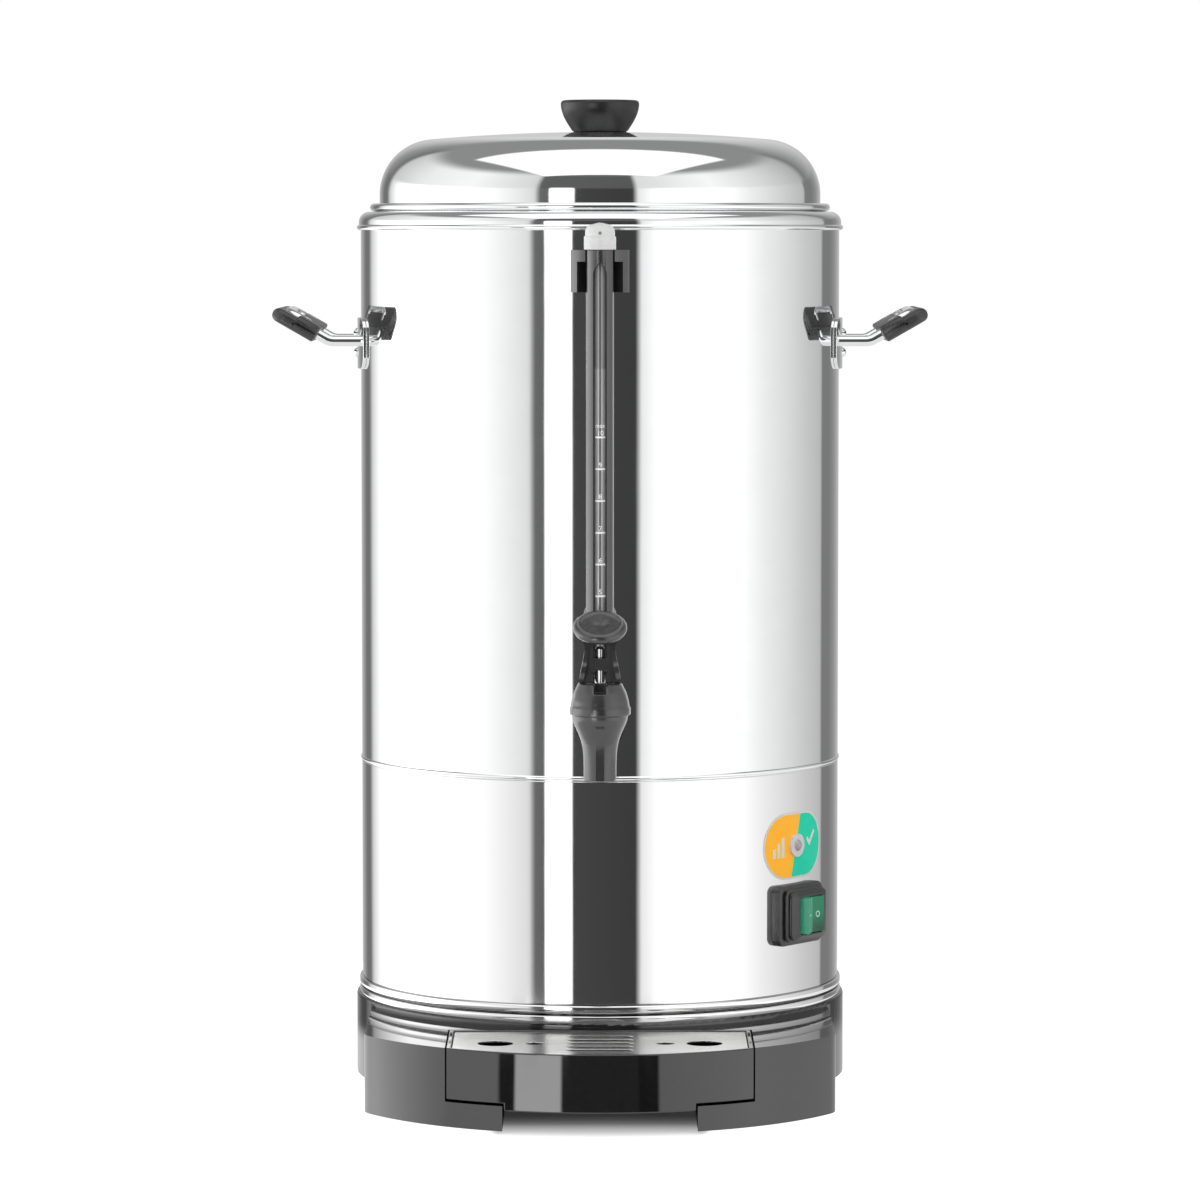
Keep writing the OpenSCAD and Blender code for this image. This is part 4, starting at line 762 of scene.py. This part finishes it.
# Wings of the gauge's bracket, on an arc round the tank's front
wing_lo, wing_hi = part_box("gauge_bracket")
WING_R = 17.9
WING_FORWARD = 133.5
WING_DEPTH = 7
WING_OUTER = 15.85
WING_LEG = 12.4
WING_INNER = 7.9
WING_BAND = 6.3


def wing_outline(side):
    """One wing, bent over at its top, as it lies along the arc."""
    outer, leg, inner = (side * WING_R * math.asin(x / WING_R) for x in (WING_OUTER, WING_LEG, WING_INNER))
    top = wing_hi.z / MM
    foot = wing_lo.z / MM
    band = top - WING_BAND
    return [(outer, foot), (outer, top), (inner, top), (inner, band), (leg, band), (leg, foot)]


wing_form = flat_form([wing_outline(-1), wing_outline(1)])
wing_mesh = laid_mesh("bracket", wing_form, -WING_DEPTH, on_cylinder(WING_R, WING_FORWARD), step=0.8)
wings = add_piece("bracket", wing_mesh, "urn", moulded_black, ["gauge_bracket"])

# Litre marks with plain numbers
TOP_MARK = 10
LOW_MARK = 5
TOP_MARK_Z = 366.7
MARK_PITCH = 17.14
MARK_W = 5.8
MARK_T = 0.9
MARK_X = 0.2
DIGIT_H = 2.6
DIGIT_RISE = 1.0
TOP_WORD_H = 2.3
TOP_WORD_X = 0.1
TOP_WORD_RISE = 5.2
SCALE_GAP = 0.02
numbers = range(TOP_MARK, LOW_MARK - 1, -1)
levels = [(number, TOP_MARK_Z - (TOP_MARK - number) * MARK_PITCH) for number in numbers]
digits = [(str(number), DIGIT_H, MARK_X, z + DIGIT_RISE) for number, z in levels]
top_word = ("max", TOP_WORD_H, TOP_WORD_X, TOP_MARK_Z + TOP_WORD_RISE)
scale_form = flat_form([bar(MARK_X, z, MARK_W, MARK_T) for _, z in levels], [*digits, top_word])
on_glass = on_cylinder(TUBE_R + SCALE_GAP, TUBE_Y)
scale_mesh = laid_mesh("gauge_scale", scale_form, PRINT_T, on_glass, step=0.5)
add_piece("gauge_scale", scale_mesh, "urn", scale_print_glow)

# Status plate round the lamp: two fields with a slanting border, bars on one and a tick on the other
PLATE_Z = 138
PLATE_HALF_W = 26.3
PLATE_HALF_H = 17.2
PLATE_BORDER = 1.3
PLATE_HOLE = 6.2
PLATE_SLANT = 14
PLATE_T = 0.2
BORDER_T = 0.12
SIGN_T = 0.26
PLATE_GAP = 0.02


def plate_field(half_w, half_h, hole, flip):
    """One field of the plate: a round end, and a slanting side with half the lamp's hole."""
    across = half_h * math.tan(math.radians(PLATE_SLANT))
    middle = half_w - half_h
    outline = [
        (across, half_h), *arc((-middle, 0), half_h, 90, 270, 40), (-across, -half_h),
        *arc((0, 0), hole, 270 - PLATE_SLANT, 90 - PLATE_SLANT, 24),
    ]
    return [(flip * u, flip * v) for u, v in outline]


# Three bars that grow from one foot, and a tick
BARS_X = -19
BARS_FOOT = -6.1
BARS_PITCH = 3.6
BAR_W = 2.2
BAR_H = 5
BAR_GROWS = 3
TICK_X = 15.2
TICK_Z = 2
TICK = [(-4.6, 0.4), (-3.2, 1.8), (-1.2, -0.4), (3.6, 5.4), (5.1, 4.1), (-1.1, -3.4)]
bar_heights = [BAR_H + BAR_GROWS * i for i in range(3)]
bars = [bar(BARS_X + BARS_PITCH * i, BARS_FOOT + h / 2, BAR_W, h) for i, h in enumerate(bar_heights)]
tick = [(u + TICK_X, v + TICK_Z) for u, v in TICK]
on_skirt = on_cylinder(BODY_R + PLATE_GAP, 0, SWITCH_TURN, PLATE_Z)
outer = (PLATE_HALF_W + PLATE_BORDER, PLATE_HALF_H + PLATE_BORDER, PLATE_HOLE)
inner = (PLATE_HALF_W, PLATE_HALF_H, PLATE_HOLE)
# The orange and green fields carry a painted glow
for name, outlines, depth, material in (
    ("plate_border", [plate_field(*outer, 1), plate_field(*outer, -1)], BORDER_T, plate_border),
    ("plate_orange_glow", [plate_field(*inner, 1)], PLATE_T, plate_orange_glow),
    ("plate_green_glow", [plate_field(*inner, -1)], PLATE_T, plate_green_glow),
    ("plate_signs", [*bars, tick], SIGN_T, plate_print),
):
    plate = laid_mesh(name, flat_form(outlines), depth, on_skirt, step=2.0)
    add_piece(name, plate, "urn", material)


# Marks on the rocker: a bar and a ring, one on each face
ROCKER_TILT = 8
ROCKER_Y = 142
ROCKER_Z = 100
ROCKER_VALLEY = 4
ROCKER_RISE = 2.5
ROCKER_HALF_W = 9.4
ROCKER_SLOPE = math.atan2(ROCKER_RISE, ROCKER_HALF_W)
SIGN_U = 4.6
SIGN_BAR = (3.4, 0.8)
SIGN_RING = (1.8, 0.7)


def turned(x, y, degrees):
    """A place turned about the upright axis."""
    a = math.radians(degrees)
    return x * math.cos(a) - y * math.sin(a), x * math.sin(a) + y * math.cos(a)


def on_rocker(side):
    """Lays (out from the valley, up, off the face) on one of the rocker's faces."""
    def lay(u, v, w):
        x = side * (u * math.cos(ROCKER_SLOPE) - w * math.sin(ROCKER_SLOPE))
        y = -ROCKER_VALLEY - u * math.sin(ROCKER_SLOPE) - w * math.cos(ROCKER_SLOPE)
        x, y = turned(x, y, ROCKER_TILT)
        x, y = turned(x, y - ROCKER_Y, SWITCH_TURN)
        return x * MM, AXIS_Y + y * MM, (ROCKER_Z + v) * MM
    return lay


def ring_outlines(u, v, radius, width, count=20):
    """A ring as two half rings."""
    halves = []
    for start in (0, 180):
        halves.append(arc((u, v), radius, start, start + 180, count)
                      + arc((u, v), radius - width, start + 180, start, count))
    return halves


for name, outlines, side in (
    ("rocker_bar", [bar(SIGN_U, 0, *SIGN_BAR)], -1),
    ("rocker_ring", ring_outlines(SIGN_U, 0, *SIGN_RING), 1),
):
    sign = laid_mesh(name, flat_form(outlines), PRINT_T, on_rocker(side), step=1.0)
    add_piece(name, sign, "rocker", mark_print)


# Dark inside of the gland at the back: a disc of painted shade laid in its bore
GLAND_HOLE_R = 5
GLAND_HOLE_T = 0.3
GLAND_HOLE_GAP = 0.05
gland_lo, gland_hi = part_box("cord_gland")
on_back = on_cylinder(BODY_R + GLAND_HOLE_GAP, 0, 180, (gland_lo.z + gland_hi.z) / 2 / MM)
gland_form = flat_form([arc((0, 0), GLAND_HOLE_R, 0, 350, 35)])
gland_shade_mesh = laid_mesh("gland_bore_shade", gland_form, GLAND_HOLE_T, on_back, step=1.5)
add_piece("gland_bore_shade", gland_shade_mesh, "urn", rubber)


# Lofted pieces
def loft_mesh(name, rings, lay, closed=False):
    """Skin through rings of (u, v, w) points, joined last to first if closed, else capped at both ends."""
    count = len(rings[0])
    form = bmesh.new()
    rows = [[form.verts.new(lay(*point)) for point in ring] for ring in rings]
    for row, after in zip(rows, rows[1:] + rows[:1] if closed else rows[1:]):
        for i in range(count):
            j = (i + 1) % count
            form.faces.new((row[i], row[j], after[j], after[i]))
    if not closed:
        form.faces.new(rows[0])
        form.faces.new(rows[-1])
    bmesh.ops.recalc_face_normals(form, faces=form.faces[:])
    mesh = bpy.data.meshes.new(name)
    form.to_mesh(mesh)
    form.free()
    shade_smooth(mesh)
    return mesh


def round_rect(width, height, corner):
    """Rounded rectangle about its middle."""
    outline = []
    for sx, sy, start in ((1, 1, 0), (-1, 1, 90), (-1, -1, 180), (1, -1, 270)):
        centre = (sx * (width / 2 - corner), sy * (height / 2 - corner))
        outline += arc(centre, corner, start, start + 90, 8)
    return outline


# Switch frame: over its flange, folds and lip, then down through its window.
# Each ring is a width, a height, a corner radius and a distance out of the body.
FRAME_RINGS = [
    (41, 33.5, 4, -1.9), (41, 33.5, 4, 3.2), (40.7, 33.2, 3.9, 3.7), (39.9, 32.4, 3.6, 4),
    (34.6, 28.4, 3.2, 4.1), (33.2, 27.2, 3, 4.5), (33.2, 27.2, 3, 5), (34.6, 28.4, 3.2, 5.3),
    (35.7, 29.3, 3.5, 5.7), (36, 29.5, 3.6, 6.2), (35.7, 29.3, 3.5, 6.7), (34.6, 28.4, 3.3, 7),
    (31.6, 26, 3, 7.2), (31.1, 25.6, 3, 7.6), (31.1, 25.6, 3, 8), (32.2, 26.4, 3, 8.3),
    (32.9, 26.9, 3, 8.8), (32.6, 26.7, 3, 9.3), (31.4, 26, 2.9, 9.6), (24.6, 23.2, 2.4, 10.6),
    (23.9, 22.7, 2.2, 10.9), (23.2, 22.1, 2, 11), (22.2, 21.1, 1.7, 11), (21.7, 20.7, 1.5, 10.8),
    (21.6, 20.6, 1.5, 10.4), (21.6, 20.6, 1.5, 9.6), (21.6, 24, 1.5, 9.2), (21.6, 24, 1.5, -1.9),
]


def on_front(turn, middle_z):
    """Lays (aside, up, out of the body) on the plane that touches the body at that turn."""
    sine, cosine = math.sin(math.radians(turn)), math.cos(math.radians(turn))

    def lay(u, v, w):
        out = BODY_R + w
        return (out * sine + u * cosine) * MM, AXIS_Y + (u * sine - out * cosine) * MM, (middle_z + v) * MM
    return lay


frame_rings = [[(u, v, out) for u, v in round_rect(*size)] for *size, out in FRAME_RINGS]
frame_mesh = loft_mesh("frame", frame_rings, on_front(SWITCH_TURN, ROCKER_Z), closed=True)
add_piece("frame", frame_mesh, "urn", satin_black, ["switch_frame"])

# Handles: a bent wire with a grip on its sloping part
WIRE_R = 3
LEG_Y = 26
LEG_FOOT = 133.5
LEG_END = 149
BEND_R = 10
GRIP_TILT = math.radians(30)
GRIP_START = 4.9
WIRE_RISE = 2.3
RISE_LENGTH = 8
BEND_STEPS = 10
CROSS_S = 24.9
CORNER_R = 8
handle_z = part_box("handle_wire_right")[0].z / MM + WIRE_R
slope_x = LEG_END + BEND_R * math.sin(GRIP_TILT)
slope_z = handle_z + BEND_R * (1 - math.cos(GRIP_TILT))


def on_slope(side):
    """Lays (along the slope, aside, off the slope) on the left or right handle."""
    def lay(s, y, t):
        x = slope_x + s * math.cos(GRIP_TILT) - t * math.sin(GRIP_TILT)
        z = slope_z + s * math.sin(GRIP_TILT) + t * math.cos(GRIP_TILT)
        return side * x * MM, AXIS_Y + y * MM, z * MM
    return lay


def wire_path():
    """Middle line of the wire, from one foot to the other, on the slope's axes."""
    turn = math.tan(GRIP_TILT / 2) * BEND_R
    back = slope_x - LEG_FOOT - BEND_R * math.sin(GRIP_TILT)
    foot = (-turn - (back + turn) * math.cos(GRIP_TILT), (back + turn) * math.sin(GRIP_TILT))
    turns = [-GRIP_TILT * (1 - i / BEND_STEPS) for i in range(BEND_STEPS + 1)]
    bend = [(BEND_R * math.sin(a), BEND_R * (1 - math.cos(a))) for a in turns]
    shares = [i / RISE_LENGTH for i in range(RISE_LENGTH + 1)]
    rise = [(GRIP_START + 1 + RISE_LENGTH * share, WIRE_RISE * (1 - math.cos(math.pi * share)) / 2)
            for share in shares]
    half = [(s, LEG_Y, t) for s, t in [foot, *bend, *rise]]
    half += [(s, y, WIRE_RISE) for y, s in arc((LEG_Y - CORNER_R, CROSS_S - CORNER_R), CORNER_R, 0, 90, 12)]
    return half + [(s, -y, t) for s, y, t in reversed(half)]


def tube_rings(path, radius, sides=24):
    """Round sections square to a path."""
    rings = []
    for i, point in enumerate(path):
        ahead = Vector(path[min(i + 1, len(path) - 1)]) - Vector(path[max(i - 1, 0)])
        across = ahead.cross(Vector((0, 0, 1))).normalized()
        up = across.cross(ahead).normalized()
        turns = [2 * math.pi * k / sides for k in range(sides)]
        rings.append([Vector(point) + radius * (math.cos(a) * across + math.sin(a) * up) for a in turns])
    return rings


GRIP_END = 32.3
GRIP_HALF_W = 46
GRIP_FOOT = -4.8
GRIP_TOP = 4.8
GRIP_LOW_TOP = 2.9
GRIP_STEP = 13.5
GRIP_STEP_ROUND = 0.8
GRIP_CORNER = 8
# Corner radius of the grip's section, as a share of its thickness
GRIP_ROUND = 0.35
SLOT_HALF = 0.6
SLOT_DEPTH = 2.4
SLOT_END = 14.3
SLOT_FADE = 0.4
NO_SLOT = 0.02
TIP_STEPS = 16
TIP_TURN = 5.5


def grip_ring(s, half_w, foot, top, slot):
    """Section of the grip at s: rounded ends, each with a slot of that share of its full size."""
    corner = (top - foot) * GRIP_ROUND
    middle = (foot + top) / 2
    low, high = middle - SLOT_HALF * slot, middle + SLOT_HALF * slot
    bottom = half_w - SLOT_DEPTH * slot
    right = [
        *arc((half_w - corner, foot + corner), corner, -90, 0, 6), (half_w, low), (bottom, low),
        (bottom, high), (half_w, high), *arc((half_w - corner, top - corner), corner, 0, 90, 6),
    ]
    return [(s, y, t) for y, t in right + [(-y, t) for y, t in reversed(right)]]


def grip_rings():
    """Sections from the rounded inner end, over the step and the slots' ends, to the round tip."""
    rings = []
    for start, inset in ((0, 0.9), (0.3, 0.35), (0.9, 0)):
        rings.append((start, GRIP_HALF_W - inset, GRIP_FOOT + inset, GRIP_TOP - inset, 1))
    for s, top, slot in (
        (GRIP_STEP - GRIP_STEP_ROUND, GRIP_TOP, 1),
        (GRIP_STEP - GRIP_STEP_ROUND / 4, GRIP_TOP - GRIP_STEP_ROUND * 3 / 4, 1),
        (GRIP_STEP, GRIP_LOW_TOP, 1),
        (SLOT_END, GRIP_LOW_TOP, 1),
        (SLOT_END + SLOT_FADE, GRIP_LOW_TOP, NO_SLOT),
    ):
        rings.append((s, GRIP_HALF_W, GRIP_FOOT, top, slot))
    length = GRIP_END - GRIP_START
    half_t = (GRIP_LOW_TOP - GRIP_FOOT) / 2
    middle = (GRIP_LOW_TOP + GRIP_FOOT) / 2
    for turn in (math.radians(TIP_TURN * i) for i in range(TIP_STEPS + 1)):
        s = length - GRIP_CORNER * (1 - math.sin(turn))
        half_w = GRIP_HALF_W - GRIP_CORNER * (1 - math.cos(turn))
        reach = max(0, s - (length - half_t)) / half_t
        thick = half_t * math.sqrt(1 - reach ** 2)
        rings.append((s, half_w, middle - thick, middle + thick, NO_SLOT))
    return [grip_ring(GRIP_START + s, *rest) for s, *rest in rings]


HANDLE_PLATE_W = 70
HANDLE_PLATE_H = 28.5
HANDLE_PLATE_T = 2
HANDLE_PLATE_CORNER = 8
HANDLE_PLATE_DROP = 1.5
plates = []
for side, word in ((-1, "left"), (1, "right")):
    plate_form = flat_form([round_rect(HANDLE_PLATE_W, HANDLE_PLATE_H, HANDLE_PLATE_CORNER)])
    on_side = on_cylinder(BODY_R, 0, side * 90, handle_z - HANDLE_PLATE_DROP)
    plate = laid_mesh("plate_" + word, plate_form, HANDLE_PLATE_T, on_side, step=1.7)
    plates.append(add_piece("plate_" + word, plate, "urn", chrome, ["handle_plate_" + word]))
    wire = loft_mesh("wire_" + word, tube_rings(wire_path(), WIRE_R), on_slope(side))
    add_piece("wire_" + word, wire, "urn", chrome, ["handle_wire_" + word])
    grip = loft_mesh("grip_" + word, grip_rings(), on_slope(side))
    add_piece("grip_" + word, grip, "urn", satin_black, ["handle_grip_" + word])


# Rounded edges on the moulded pieces
SHARP_EDGE = 40
EDGE_SEGMENTS = 3
WELD_GAP = 0.00001


def round_edges(width, *objects):
    """Rounds each object's sharp edges, to that width in millimetres."""
    for item in objects:
        weld = item.modifiers.new("weld", "WELD")
        weld.merge_threshold = WELD_GAP
        bevel = item.modifiers.new("bevel", "BEVEL")
        bevel.limit_method = "ANGLE"
        bevel.angle_limit = math.radians(SHARP_EDGE)
        bevel.width = width * MM
        bevel.segments = EDGE_SEGMENTS
        bevel.face_strength_mode = "FSTR_ALL"
        normals = item.modifiers.new("normals", "WEIGHTED_NORMAL")
        normals.use_face_influence = True


MOULDED = ("base_housing", "drip_tray", "tap_body", "tap_bonnet", "tap_lever", "gauge_guard")
round_edges(0.7, *(nodes[name] for name in MOULDED))
round_edges(0.5, nodes["switch_rocker"], wings)
round_edges(0.9, *plates)
round_edges(0.25, nodes["drip_grid"])


# Floor: a pale disc that keeps the object's shadow, its sizes in metres
FLOOR_R = 0.52
FLOOR_SIDES = 128
FLOOR_GREY = 0.55
OPEN_FLOOR = 1.1
# Ground under the object, which mirror rays see: half width, half depth, middle and soft edge
UNDER_X = 0.13
UNDER_Y = 0.15
UNDER_MIDDLE = -0.02
UNDER_EDGE = (0.9, 1.1)
# Light under the tray, as shares of its run to the front, each with a level
TRAY_SHADE = [
    (0.16, 0.03), (0.29, 0.06), (0.42, 0.14), (0.54, 0.34), (0.67, 0.52), (0.8, 0.7), (0.9, 0.85),
    (1, OPEN_FLOOR),
]
# Where that run starts and how long it is, and where the shade ends at its sides and behind
SHADE_START = 0.1
SHADE_RUN = 0.1
SHADE_HALF_W = (0.054, 0.06)
SHADE_BACK = (0.0, 0.05)


def make_floor():
    """White, with the soft shadow under the tray. Mirror rays see only the part under the object."""
    material = bpy.data.materials.new("floor")
    material.use_nodes = True
    tree = material.node_tree
    tree.nodes.clear()
    x, y, _ = split_place(tree, tree.nodes.new("ShaderNodeTexCoord").outputs["Object"])
    diffuse = tree.nodes.new("ShaderNodeBsdfDiffuse")
    diffuse.inputs["Color"].default_value = (FLOOR_GREY, FLOOR_GREY, FLOOR_GREY, 1)
    glow = tree.nodes.new("ShaderNodeEmission")
    path = tree.nodes.new("ShaderNodeLightPath")
    run = math_node(tree, "MULTIPLY_ADD", y, -1 / SHADE_RUN, -SHADE_START / SHADE_RUN)
    under = ramp_node(tree, run, TRAY_SHADE)
    aside = step_node(tree, math_node(tree, "ABSOLUTE", x), *SHADE_HALF_W)
    behind = step_node(tree, y, *SHADE_BACK)
    white = mix_node(tree, math_node(tree, "MAXIMUM", aside, behind), under, OPEN_FLOOR)
    seen = math_node(tree, "MULTIPLY", path.outputs["Is Camera Ray"], white)
    tree.links.new(seen, glow.inputs["Strength"])
    total = tree.nodes.new("ShaderNodeAddShader")
    tree.links.new(diffuse.outputs[0], total.inputs[0])
    tree.links.new(glow.outputs[0], total.inputs[1])
    mix = tree.nodes.new("ShaderNodeMixShader")
    across = math_node(tree, "POWER", math_node(tree, "MULTIPLY", x, 1 / UNDER_X), 2.0)
    along = math_node(tree, "MULTIPLY_ADD", y, 1 / UNDER_Y, -UNDER_MIDDLE / UNDER_Y)
    reach = math_node(tree, "ADD", across, math_node(tree, "POWER", along, 2.0))
    clear = math_node(tree, "MULTIPLY", path.outputs["Is Glossy Ray"], step_node(tree, reach, *UNDER_EDGE))
    tree.links.new(clear, mix.inputs["Fac"])
    tree.links.new(total.outputs[0], mix.inputs[1])
    tree.links.new(tree.nodes.new("ShaderNodeBsdfTransparent").outputs[0], mix.inputs[2])
    tree.links.new(mix.outputs[0], tree.nodes.new("ShaderNodeOutputMaterial").inputs["Surface"])
    mesh = bpy.data.meshes.new("floor")
    turns = [2 * math.pi * i / FLOOR_SIDES for i in range(FLOOR_SIDES)]
    mesh.from_pydata([(FLOOR_R * math.cos(a), FLOOR_R * math.sin(a), 0) for a in turns], [],
                     [list(range(FLOOR_SIDES))])
    mesh.materials.append(material)
    floor = bpy.data.objects.new("floor", mesh)
    scene.collection.objects.link(floor)


make_floor()
